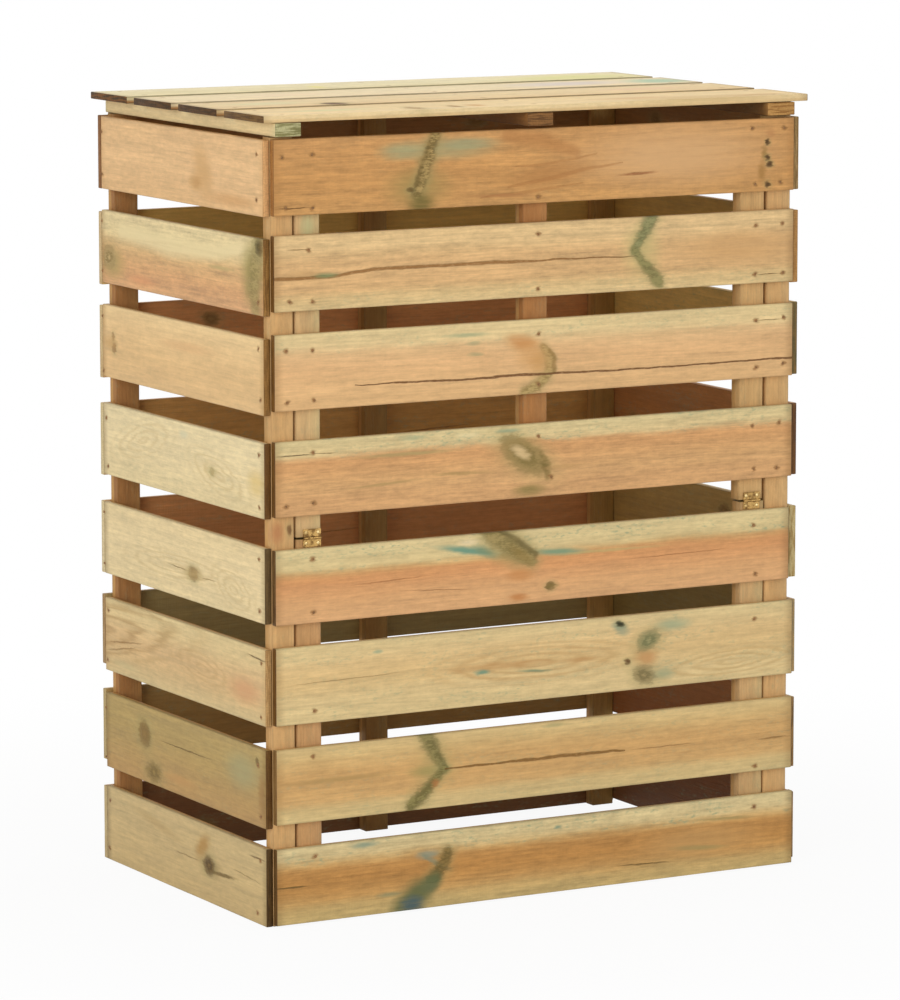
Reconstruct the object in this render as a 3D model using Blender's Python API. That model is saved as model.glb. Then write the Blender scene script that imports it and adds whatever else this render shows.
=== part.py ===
"""A slatted wooden compost bin: a slatted body, a flap at the front and a lid, each on two small hinges.

Metres, +Z up. X runs along the long side, the front faces -Y, and the origin lies on the floor
under the middle of the bin. Every board, post, batten and hinge leaf is an object of its own.
"""

import math

import bmesh
import bpy

# Overall sizes. The lid is centred on the origin and runs past the body a little on three sides
LID_LENGTH = 0.800
LID_DEPTH = 0.4995
LID_FRONT_OVERHANG = 0.0026
LID_LEFT_OVERHANG = 0.0050
LID_RIGHT_OVERHANG = 0.0055
BODY_DEPTH = 0.487
BODY_HEIGHT = 0.9974

# Stock and clearances. The right wall has slightly thicker boards than the rest
SLAT_THICKNESS = 0.0095
RIGHT_SLAT_THICKNESS = 0.0125
LID_SLAT_WIDTH = 0.109
LID_SLAT_COUNT = 4
MEMBER_THICKNESS = 0.020
LID_BATTEN_THICKNESS = 0.0175
EASED_EDGE = 0.0008
TOUCH_GAP = 0.0003
TAU = 2 * math.pi

# Each slat's top edge, as a share of the body's height, and its width, from the top slat down
FRONT_SLATS = ((1.0, 0.0957), (0.8796, 0.0956), (0.7554, 0.0965), (0.6206, 0.0957))
DOOR_SLATS = ((0.4833, 0.0957), (0.3587, 0.0994), (0.2287, 0.0966), (0.1008, 0.0985))
LEFT_SLATS = (
    (0.9992, 0.0960),
    (0.8754, 0.0968),
    (0.7502, 0.0968),
    (0.6188, 0.0961),
    (0.4859, 0.0967),
    (0.3568, 0.0985),
    (0.2279, 0.1013),
    (0.1011, 0.1008),
)
RIGHT_SLATS = (
    (1.0, 0.0960),
    (0.8770, 0.0960),
    (0.7555, 0.0965),
    (0.6207, 0.0957),
    (0.4833, 0.0957),
    (0.3579, 0.0985),
    (0.2258, 0.0949),
    (0.0968, 0.0899),
)
BACK_SLATS = (
    (1.0, 0.0970),
    (0.8726, 0.0970),
    (0.7483, 0.0970),
    (0.6177, 0.0970),
    (0.4864, 0.0970),
    (0.3603, 0.0944),
    (0.2319, 0.0962),
    (0.0998, 0.0995),
)

# How far the front's slats run past the right post. The upper ones stop just short of its face
FRONT_SLAT_PAST_POST = -0.0007
DOOR_SLATS_PAST_POST = (-0.0042, 0.0023, 0.0023, 0.0043)

# Corner posts and the battens beside them. Insets run from a post's outer face to a batten's middle
FRONT_LEFT_POST_WIDTH = 0.032
FRONT_RIGHT_POST_WIDTH = 0.0357
BACK_LEFT_POST_WIDTH = 0.034
BACK_RIGHT_POST_WIDTH = 0.0330
POST_TOP_ABOVE_SLATS = 0.0027
LEFT_BATTEN_WIDTH = 0.035
LEFT_BATTEN_INSET = 0.0522
RIGHT_BATTEN_WIDTH = 0.037
FRAME_RIGHT_BATTEN_INSET = 0.0587
DOOR_RIGHT_BATTEN_INSET = 0.0563
FRONT_MIDDLE_BATTEN_WIDTH = 0.0364
FRONT_MIDDLE_BATTEN_X = -0.0049
FRONT_MIDDLE_BATTEN_ABOVE_SLAT = 0.0014
BACK_MIDDLE_BATTEN_WIDTH = 0.035
BACK_MIDDLE_BATTEN_X = 0.0044
BACK_MIDDLE_BATTEN_FOOT = 0.0005
BATTEN_TOP_BELOW_SLATS = 0.004
DOOR_BATTEN_FOOT = 0.014

# The lid's battens. Insets run from the lid's end to a batten's middle
LID_LEFT_BATTEN_INSET = 0.0348
LID_LEFT_BATTEN_WIDTH = 0.0365
LID_MIDDLE_BATTEN_X = -0.0039
LID_MIDDLE_BATTEN_WIDTH = 0.0379
LID_RIGHT_BATTEN_INSET = 0.0410
LID_RIGHT_BATTEN_WIDTH = 0.0420

# Hinges
HINGE_LENGTH = 0.025
LEAF_HEIGHT = 0.0112
LEAF_THICKNESS = 0.0010
KNUCKLE_RADIUS = 0.0017
PIN_RADIUS = 0.0008
KNUCKLE_SPAN = 0.0080
KNUCKLE_SIDES = 24
SCREW_HOLE_RADIUS = 0.0013
SCREW_HOLE_SPREAD = 0.0085
SCREW_HOLE_HEIGHT = 0.0068
COUNTERSINK_RADIUS = 0.0021
DOOR_AXIS_ABOVE_FLAP = 0.0117
BATTEN_END_CLEARANCE = 0.0008
DOOR_HINGES_PAST_BATTEN_MIDDLE = (0.0045, 0.0010)

# Places that follow from the sizes above
BODY_LEFT_X = -LID_LENGTH / 2 + LID_LEFT_OVERHANG
BODY_RIGHT_X = LID_LENGTH / 2 - LID_RIGHT_OVERHANG
FRONT_Y = -LID_DEPTH / 2 + LID_FRONT_OVERHANG
BACK_Y = FRONT_Y + BODY_DEPTH
FRAME_FRONT_Y = FRONT_Y + SLAT_THICKNESS + TOUCH_GAP
FRAME_BACK_Y = BACK_Y - SLAT_THICKNESS - TOUCH_GAP
FRAME_LEFT_X = BODY_LEFT_X + SLAT_THICKNESS + TOUCH_GAP
FRAME_RIGHT_X = BODY_RIGHT_X - RIGHT_SLAT_THICKNESS - TOUCH_GAP
LEFT_BATTEN_X = FRAME_LEFT_X + LEFT_BATTEN_INSET
FRAME_RIGHT_BATTEN_X = FRAME_RIGHT_X - FRAME_RIGHT_BATTEN_INSET
DOOR_RIGHT_BATTEN_X = FRAME_RIGHT_X - DOOR_RIGHT_BATTEN_INSET
LID_LEFT_BATTEN_X = -LID_LENGTH / 2 + LID_LEFT_BATTEN_INSET
LID_RIGHT_BATTEN_X = LID_LENGTH / 2 - LID_RIGHT_BATTEN_INSET
POST_TOP = BODY_HEIGHT + POST_TOP_ABOVE_SLATS
LID_UNDERSIDE = POST_TOP + TOUCH_GAP
LID_SLAT_BASE = LID_UNDERSIDE + LID_BATTEN_THICKNESS + TOUCH_GAP
AXIS_OFFSET = TOUCH_GAP + KNUCKLE_RADIUS
FLAP_TOP = DOOR_SLATS[0][0] * BODY_HEIGHT
DOOR_AXIS_HEIGHT = FLAP_TOP + DOOR_AXIS_ABOVE_FLAP
DOOR_AXIS_Y = FRAME_FRONT_Y - AXIS_OFFSET
FIXED_FRONT_FOOT = FRONT_SLATS[-1][0] * BODY_HEIGHT - FRONT_SLATS[-1][1]
LID_AXIS_Y = BACK_Y + AXIS_OFFSET
LID_AXIS_HEIGHT = (BODY_HEIGHT + LID_UNDERSIDE) / 2


def clear_scene():
    """Remove everything that the startup scene holds."""
    for obj in list(bpy.data.objects):
        bpy.data.objects.remove(obj, do_unlink=True)


def plain_material(name, colour, roughness, metallic=0.0):
    """A Principled material of one colour."""
    material = bpy.data.materials.new(name)
    material.use_nodes = True
    shader = material.node_tree.nodes["Principled BSDF"]
    shader.inputs["Base Color"].default_value = (*colour, 1.0)
    shader.inputs["Roughness"].default_value = roughness
    shader.inputs["Metallic"].default_value = metallic
    material.diffuse_color = (*colour, 1.0)
    return material


def make_materials():
    """The wood of each kind of board, and the hinges' brass."""
    return {
        "front": plain_material("pine_front", (0.62, 0.38, 0.17), 0.65),
        "side": plain_material("pine_side", (0.66, 0.46, 0.22), 0.65),
        "back": plain_material("pine_back", (0.55, 0.36, 0.17), 0.70),
        "door": plain_material("pine_flap", (0.64, 0.42, 0.19), 0.65),
        "frame": plain_material("pine_frame", (0.50, 0.31, 0.15), 0.70),
        "lid": plain_material("pine_lid", (0.70, 0.52, 0.27), 0.65),
        "brass": plain_material("brass", (0.75, 0.55, 0.22), 0.30, 1.0),
    }


def joint_axis(name, y, z):
    """An empty on a hinge line, for the pieces that swing about it."""
    empty = bpy.data.objects.new(name, None)
    empty.empty_display_size = 0.05
    empty.location = (0.0, y, z)
    bpy.context.scene.collection.objects.link(empty)
    return empty


def place(obj, centre, parent=None):
    """Put an object at a point of the world, under a parent where it has one."""
    bpy.context.scene.collection.objects.link(obj)
    offset = parent.location if parent else (0.0, 0.0, 0.0)
    obj.location = [c - o for c, o in zip(centre, offset)]
    obj.parent = parent
    return obj


def board(name, x_range, y_range, z_range, material, parent=None):
    """One sawn board that fills the three ranges, with its edges slightly eased."""
    ranges = (x_range, y_range, z_range)
    size = [high - low for low, high in ranges]
    centre = [(low + high) / 2 for low, high in ranges]
    mesh = bpy.data.meshes.new(name)
    shape = bmesh.new()
    bmesh.ops.create_cube(shape, size=1.0)
    bmesh.ops.scale(shape, vec=size, verts=shape.verts)
    shape.to_mesh(mesh)
    shape.free()
    mesh.materials.append(material)
    obj = bpy.data.objects.new(name, mesh)
    ease = obj.modifiers.new("eased_edges", "BEVEL")
    ease.width = EASED_EDGE
    ease.segments = 1
    ease.limit_method = "NONE"
    return place(obj, centre, parent)


def slat_row(name, slats, across, through, material):
    """One wall's slats, one above the other, all filling the same two ranges in plan."""
    for number, (share, width) in enumerate(slats, start=1):
        top = share * BODY_HEIGHT
        board(f"{name}_{number}", across, through, (top - width, top), material)


def make_front_slats(material):
    """The four fixed slats above the flap, over the front posts."""
    across = (FRAME_LEFT_X, FRAME_RIGHT_X + FRONT_SLAT_PAST_POST)
    slat_row("front_slat", FRONT_SLATS, across, (FRONT_Y, FRONT_Y + SLAT_THICKNESS), material)


def make_side_slats(material):
    """Eight slats on each side, outside the posts, with their ends between the front and back slats."""
    along = (FRAME_FRONT_Y, FRAME_BACK_Y)
    left = (BODY_LEFT_X, BODY_LEFT_X + SLAT_THICKNESS)
    right = (BODY_RIGHT_X - RIGHT_SLAT_THICKNESS, BODY_RIGHT_X)
    slat_row("left_slat", LEFT_SLATS, left, along, material)
    slat_row("right_slat", RIGHT_SLATS, right, along, material)


def make_back_slats(material):
    """Eight slats over the back posts and over the ends of the side slats."""
    through = (BACK_Y - SLAT_THICKNESS, BACK_Y)
    slat_row("back_slat", BACK_SLATS, (BODY_LEFT_X, BODY_RIGHT_X), through, material)


def make_posts(material):
    """Four corner posts from the floor to just above the slats, where the lid rests."""
    front = (FRAME_FRONT_Y, FRAME_FRONT_Y + MEMBER_THICKNESS)
    back = (FRAME_BACK_Y - MEMBER_THICKNESS, FRAME_BACK_Y)
    for name, width, through in (
        ("front_left_post", FRONT_LEFT_POST_WIDTH, front),
        ("back_left_post", BACK_LEFT_POST_WIDTH, back),
    ):
        across = (FRAME_LEFT_X, FRAME_LEFT_X + width)
        board(name, across, through, (0.0, POST_TOP), material)
    for name, width, through in (
        ("front_right_post", FRONT_RIGHT_POST_WIDTH, front),
        ("back_right_post", BACK_RIGHT_POST_WIDTH, back),
    ):
        across = (FRAME_RIGHT_X - width, FRAME_RIGHT_X)
        board(name, across, through, (0.0, POST_TOP), material)


def span(centre, width):
    """The range of this width about a centre."""
    return (centre - width / 2, centre + width / 2)


def make_fixed_battens(material):
    """The upright battens that tie the fixed front slats and the back slats together."""
    front = (FRAME_FRONT_Y, FRAME_FRONT_Y + MEMBER_THICKNESS)
    back = (FRAME_BACK_Y - MEMBER_THICKNESS, FRAME_BACK_Y)
    top = BODY_HEIGHT - BATTEN_TOP_BELOW_SLATS
    above_door = (DOOR_AXIS_HEIGHT + BATTEN_END_CLEARANCE, top)
    middle = (FIXED_FRONT_FOOT + FRONT_MIDDLE_BATTEN_ABOVE_SLAT, top)
    left = span(LEFT_BATTEN_X, LEFT_BATTEN_WIDTH)
    right = span(FRAME_RIGHT_BATTEN_X, RIGHT_BATTEN_WIDTH)
    board("front_left_batten", left, front, above_door, material)
    board("front_right_batten", right, front, above_door, material)
    centre = span(FRONT_MIDDLE_BATTEN_X, FRONT_MIDDLE_BATTEN_WIDTH)
    board("front_middle_batten", centre, front, middle, material)
    rear = span(BACK_MIDDLE_BATTEN_X, BACK_MIDDLE_BATTEN_WIDTH)
    board("back_middle_batten", rear, back, (BACK_MIDDLE_BATTEN_FOOT, top), material)


def make_door(slat_material, batten_material, axis):
    """The flap: four slats on two battens, hung from the battens above it."""
    through = (FRONT_Y, FRONT_Y + SLAT_THICKNESS)
    rows = zip(DOOR_SLATS, DOOR_SLATS_PAST_POST)
    for number, ((share, width), past) in enumerate(rows, start=1):
        across = (FRAME_LEFT_X, FRAME_RIGHT_X + past)
        top = share * BODY_HEIGHT
        height = (top - width, top)
        board(f"door_slat_{number}", across, through, height, slat_material, axis)
    behind = (FRAME_FRONT_Y, FRAME_FRONT_Y + MEMBER_THICKNESS)
    height = (DOOR_BATTEN_FOOT, DOOR_AXIS_HEIGHT - BATTEN_END_CLEARANCE)
    left = span(LEFT_BATTEN_X, LEFT_BATTEN_WIDTH)
    right = span(DOOR_RIGHT_BATTEN_X, RIGHT_BATTEN_WIDTH)
    board("door_left_batten", left, behind, height, batten_material, axis)
    board("door_right_batten", right, behind, height, batten_material, axis)


def make_lid(material, axis):
    """The lid: four lengthwise slats on three cross battens."""
    front = -LID_DEPTH / 2
    pitch = (LID_DEPTH - LID_SLAT_WIDTH) / (LID_SLAT_COUNT - 1)
    across = (-LID_LENGTH / 2, LID_LENGTH / 2)
    height = (LID_SLAT_BASE, LID_SLAT_BASE + SLAT_THICKNESS)
    for number in range(LID_SLAT_COUNT):
        edge = front + number * pitch
        name = f"lid_slat_{number + 1}"
        board(name, across, (edge, edge + LID_SLAT_WIDTH), height, material, axis)
    under = (LID_UNDERSIDE, LID_UNDERSIDE + LID_BATTEN_THICKNESS)
    for name, centre, width in (
        ("lid_left_batten", LID_LEFT_BATTEN_X, LID_LEFT_BATTEN_WIDTH),
        ("lid_middle_batten", LID_MIDDLE_BATTEN_X, LID_MIDDLE_BATTEN_WIDTH),
        ("lid_right_batten", LID_RIGHT_BATTEN_X, LID_RIGHT_BATTEN_WIDTH),
    ):
        board(name, span(centre, width), (front, BACK_Y), under, material, axis)


def block(name, x_range, y_range, z_range):
    """A plain box as a hidden helper of the hinge leaves."""
    obj = board(name, x_range, y_range, z_range, None)
    obj.modifiers.clear()
    return hide(obj)


def rod(name, radius, x_range, y=0.0, z=0.0):
    """A round bar along X as a hidden helper."""
    mesh = bpy.data.meshes.new(name)
    shape = bmesh.new()
    length = x_range[1] - x_range[0]
    bmesh.ops.create_cone(
        shape,
        cap_ends=True,
        segments=KNUCKLE_SIDES,
        radius1=radius,
        radius2=radius,
        depth=length,
    )
    shape.to_mesh(mesh)
    shape.free()
    obj = bpy.data.objects.new(name, mesh)
    place(obj, ((x_range[0] + x_range[1]) / 2, y, z))
    obj.rotation_euler = (0.0, TAU / 4, 0.0)
    return hide(obj)


def screw_hole(name, x, z):
    """A countersunk hole through a leaf, narrow towards the wood."""
    mesh = bpy.data.meshes.new(name)
    shape = bmesh.new()
    reach = LEAF_THICKNESS + 2 * TOUCH_GAP
    slope = (COUNTERSINK_RADIUS - SCREW_HOLE_RADIUS) * reach / LEAF_THICKNESS
    bmesh.ops.create_cone(
        shape,
        cap_ends=True,
        segments=KNUCKLE_SIDES,
        radius1=SCREW_HOLE_RADIUS,
        radius2=SCREW_HOLE_RADIUS + slope,
        depth=reach,
    )
    shape.to_mesh(mesh)
    shape.free()
    obj = bpy.data.objects.new(name, mesh)
    place(obj, (x, KNUCKLE_RADIUS - LEAF_THICKNESS / 2, z))
    obj.rotation_euler = (TAU / 4, 0.0, 0.0)
    return hide(obj)


def hide(obj):
    """Keep a helper out of the renders and out of the nodes."""
    obj.hide_render = True
    obj.display_type = "WIRE"
    return obj


def boolean(obj, helper, operation):
    """Join a helper to an object, or cut it away."""
    modifier = obj.modifiers.new(helper.name, "BOOLEAN")
    modifier.operation = operation
    modifier.solver = "EXACT"
    modifier.object = helper


def leaf_mesh(name, side, with_pin):
    """One hinge leaf about its pin line: side is +1 for a leaf above the pin and -1 for one below.

    The leaf with the pin has the two outer knuckles, and the other has the middle one, bored to turn.
    """
    half = HINGE_LENGTH / 2
    middle = KNUCKLE_SPAN / 2
    through = (KNUCKLE_RADIUS - LEAF_THICKNESS, KNUCKLE_RADIUS)
    near = KNUCKLE_RADIUS + TOUCH_GAP
    height = sorted((side * near, side * LEAF_HEIGHT))
    plate = block(f"{name}_plate", (-half, half), through, height)
    if with_pin:
        spans = ((-half, -middle - TOUCH_GAP), (middle + TOUCH_GAP, half))
        pin = rod(f"{name}_pin", PIN_RADIUS, (-half + EASED_EDGE, half - EASED_EDGE))
    else:
        spans = ((-middle, middle),)
        pin = None
    for number, across in enumerate(spans):
        root = sorted((0.0, side * (near + TOUCH_GAP)))
        boolean(plate, block(f"{name}_root_{number}", across, through, root), "UNION")
        boolean(plate, rod(f"{name}_knuckle_{number}", KNUCKLE_RADIUS, across), "UNION")
    if pin:
        boolean(plate, pin, "UNION")
    else:
        bore = (-middle - EASED_EDGE, middle + EASED_EDGE)
        boolean(plate, rod(f"{name}_bore", PIN_RADIUS + TOUCH_GAP, bore), "DIFFERENCE")
    for number, x in enumerate((-SCREW_HOLE_SPREAD, SCREW_HOLE_SPREAD)):
        hole = screw_hole(f"{name}_hole_{number}", x, side * SCREW_HOLE_HEIGHT)
        boolean(plate, hole, "DIFFERENCE")
    bpy.context.view_layer.update()
    graph = bpy.context.evaluated_depsgraph_get()
    mesh = bpy.data.meshes.new_from_object(plate.evaluated_get(graph))
    mesh.transform(plate.matrix_world)
    mesh.name = name
    mesh.materials.clear()
    mesh.shade_smooth()
    mesh.set_sharp_from_angle(angle=math.radians(30))
    for helper in [obj for obj in bpy.data.objects if obj.name.startswith(f"{name}_")]:
        bpy.data.objects.remove(helper, do_unlink=True)
    return mesh


def hinge(name, fixed_name, moving_name, leaves, centre, axis, turned):
    """Two leaves on one pin line: the pinned leaf stays with the body and the other turns."""
    turn = (TAU / 2, 0.0, 0.0) if turned else (0.0, 0.0, 0.0)
    fixed = bpy.data.objects.new(f"{name}_{fixed_name}", leaves[0])
    moving = bpy.data.objects.new(f"{name}_{moving_name}", leaves[1])
    place(fixed, centre).rotation_euler = turn
    place(moving, centre, axis).rotation_euler = turn


def make_hinges(material, door_axis, lid_axis):
    """Two hinges for the flap, on the battens' faces, and two for the lid, on the back."""
    leaves = (leaf_mesh("pinned_leaf", 1, True), leaf_mesh("turning_leaf", -1, False))
    for leaf in leaves:
        leaf.materials.append(material)
    battens = (LEFT_BATTEN_X, FRAME_RIGHT_BATTEN_X)
    for side, batten, past in zip(("left", "right"), battens, DOOR_HINGES_PAST_BATTEN_MIDDLE):
        centre = (batten + past, DOOR_AXIS_Y, DOOR_AXIS_HEIGHT)
        hinge(f"door_hinge_{side}", "frame_leaf", "door_leaf", leaves, centre, door_axis, False)
    for side, x in (("left", LID_LEFT_BATTEN_X), ("right", LID_RIGHT_BATTEN_X)):
        centre = (x, LID_AXIS_Y, LID_AXIS_HEIGHT)
        hinge(f"lid_hinge_{side}", "body_leaf", "lid_leaf", leaves, centre, lid_axis, True)


def main():
    """Build the bin: body, flap, lid and hinges."""
    clear_scene()
    materials = make_materials()
    door_axis = joint_axis("door_axis", DOOR_AXIS_Y, DOOR_AXIS_HEIGHT)
    lid_axis = joint_axis("lid_axis", LID_AXIS_Y, LID_AXIS_HEIGHT)
    make_front_slats(materials["front"])
    make_side_slats(materials["side"])
    make_back_slats(materials["back"])
    make_posts(materials["frame"])
    make_fixed_battens(materials["frame"])
    make_door(materials["door"], materials["frame"], door_axis)
    make_lid(materials["lid"], lid_axis)
    make_hinges(materials["brass"], door_axis, lid_axis)


main()
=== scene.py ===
"""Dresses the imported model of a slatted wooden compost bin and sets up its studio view."""

import logging
import math
from collections.abc import Mapping
from dataclasses import dataclass, replace
from enum import Enum

import bmesh
import bpy
from mathutils import Euler, Matrix, Vector, noise


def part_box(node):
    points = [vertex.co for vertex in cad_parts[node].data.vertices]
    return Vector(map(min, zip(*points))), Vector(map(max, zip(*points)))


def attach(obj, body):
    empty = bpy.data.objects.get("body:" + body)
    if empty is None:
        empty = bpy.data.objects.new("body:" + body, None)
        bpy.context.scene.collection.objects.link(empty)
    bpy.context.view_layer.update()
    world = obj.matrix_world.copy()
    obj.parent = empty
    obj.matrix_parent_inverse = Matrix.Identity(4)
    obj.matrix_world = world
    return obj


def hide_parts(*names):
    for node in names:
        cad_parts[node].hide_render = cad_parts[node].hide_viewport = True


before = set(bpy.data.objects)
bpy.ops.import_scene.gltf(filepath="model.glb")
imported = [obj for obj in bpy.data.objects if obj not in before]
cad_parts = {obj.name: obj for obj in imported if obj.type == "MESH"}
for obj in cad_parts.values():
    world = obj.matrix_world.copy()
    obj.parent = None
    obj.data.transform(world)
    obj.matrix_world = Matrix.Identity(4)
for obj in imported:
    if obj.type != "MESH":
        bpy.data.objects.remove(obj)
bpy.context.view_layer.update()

LOG = logging.getLogger("compost_bin")

Tint = tuple[int, int, int]
Point = tuple[float, float]
Triple = tuple[float, float, float]


class Axis(Enum):
    """The three directions of the bin: along the front, from front to back, and up."""

    X = 0
    Y = 1
    Z = 2

    @property
    def vector(self) -> Vector:
        """Unit vector of this direction."""
        return Vector([1.0 if index == self.value else 0.0 for index in range(3)])


class MarkKind(Enum):
    """The sorts of local mark that a sawn pine board carries."""

    KNOT = "knot"
    STAIN = "stain"
    SPLIT = "split"
    SWIRL = "swirl"


def linear(tint: Tint) -> tuple[float, float, float, float]:
    """Turns a screen colour into the linear colour that a shader takes.

    Args:
        tint: Red, green and blue from 0 to 255.

    Returns:
        Linear red, green and blue with an alpha of 1.
    """
    parts = []
    for part in tint:
        level = part / 255.0
        parts.append(level / 12.92 if level <= 0.04045 else ((level + 0.055) / 1.055) ** 2.4)
    return (parts[0], parts[1], parts[2], 1.0)


class Shade:
    """One socket of a material, on which Python arithmetic adds Math nodes."""

    def __init__(self, graph: "Graph", socket: bpy.types.NodeSocket) -> None:
        """Keeps the material graph and the socket."""
        self.graph = graph
        self.socket = socket

    def _math(self, operation: str, *values: "Shade | float") -> "Shade":
        """Adds one Math node over the values."""
        return self.graph.add("ShaderNodeMath", {"operation": operation}, dict(enumerate(values)))

    def __add__(self, other: "Shade | float") -> "Shade":
        """Sum with another value."""
        return self._math("ADD", self, other)

    def __radd__(self, other: float) -> "Shade":
        """Sum with a number on the left."""
        return self._math("ADD", other, self)

    def __sub__(self, other: "Shade | float") -> "Shade":
        """Difference from another value."""
        return self._math("SUBTRACT", self, other)

    def __rsub__(self, other: float) -> "Shade":
        """A number less this value."""
        return self._math("SUBTRACT", other, self)

    def __mul__(self, other: "Shade | float") -> "Shade":
        """Product with another value."""
        return self._math("MULTIPLY", self, other)

    def __rmul__(self, other: float) -> "Shade":
        """Product with a number on the left."""
        return self._math("MULTIPLY", other, self)

    def __truediv__(self, other: "Shade | float") -> "Shade":
        """This value divided by another."""
        return self._math("DIVIDE", self, other)

    def __pow__(self, power: float) -> "Shade":
        """This value raised to a power."""
        return self._math("POWER", self, power)

    def __abs__(self) -> "Shade":
        """Size of this value without its sign."""
        return self._math("ABSOLUTE", self)

    def sine(self) -> "Shade":
        """Sine of this value in radians."""
        return self._math("SINE", self)

    def least(self, other: "Shade | float") -> "Shade":
        """The smaller of two values."""
        return self._math("MINIMUM", self, other)

    def most(self, other: "Shade | float") -> "Shade":
        """The larger of two values."""
        return self._math("MAXIMUM", self, other)

    def ramp(self, low: float, high: float, start: float = 0.0, end: float = 1.0) -> "Shade":
        """Maps this value smoothly from one range to another and clamps it.

        Args:
            low: Value that gives start.
            high: Value that gives end.
            start: Result at low.
            end: Result at high.

        Returns:
            The mapped value.
        """
        settings = {"interpolation_type": "SMOOTHSTEP"}
        return self.graph.add("ShaderNodeMapRange", settings, {0: self, 1: low, 2: high, 3: start, 4: end})


@dataclass(frozen=True)
class Pattern:
    """A noise, with its repeats per metre along each part of the vector.

    Its shift keeps it apart from the other patterns of a board, and its tone is how far it lightens and darkens
    the wood.
    """

    sizes: Triple
    shift: float = 0.0
    detail: float = 3.0
    roughness: float = 0.6
    tone: float = 0.0


FIBRES = Pattern((24.0, 430.0, 430.0), roughness=0.65, tone=0.34)
STREAKS = Pattern((5.5, 115.0, 115.0), 3.0, tone=0.46)
MOTTLE = Pattern((11.0, 34.0, 34.0), 7.0, tone=0.26)
BLOTCHES = Pattern((60.0, 170.0, 170.0), 17.0, roughness=0.65, tone=0.40)
SPECKS = Pattern((170.0, 460.0, 460.0), 9.0, 2.0, tone=0.10)
SAWING = Pattern((430.0, 26.0, 26.0), 13.0, 2.0, tone=0.06)
WOOD = (FIBRES, STREAKS, MOTTLE, BLOTCHES, SPECKS, SAWING)
DRIFT = Pattern((2.2, 9.0, 9.0), 0.0, 2.0, 0.55)
RAGGED = Pattern((70.0, 240.0, 240.0), 0.0, 2.0, 0.55)
SWAY = Pattern((26.0, 70.0, 70.0), 19.0)
SALT_DOTS = Pattern((125.0, 300.0, 300.0), 11.0, 2.0, 0.5)
SALT_PATCHES = Pattern((14.0, 60.0, 60.0), 5.0, 2.0, 0.5)
END_FIBRES = Pattern((900.0, 260.0, 1.0), roughness=0.65)
END_ARCS = Pattern((45.0, 420.0, 1.0), 2.0, 2.0, 0.55)

# How far the ragged and the swaying noise move a mark's outline, along and across the grain
RAGGED_REACH = (0.012, 0.0028, 0.0)
SWAY_REACH = (0.010, 0.0050, 0.0)

# A knot wider than this bends the grain round it
SMALL_KNOT = 0.009
# Depth of the wood's relief in metres
WOOD_RELIEF = 0.0006
# Length and height of the dark ring round a nail, and its colour
NAIL_RING = (0.0084, 0.0076)
NAIL_DIRT = (140, 98, 54)


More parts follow.
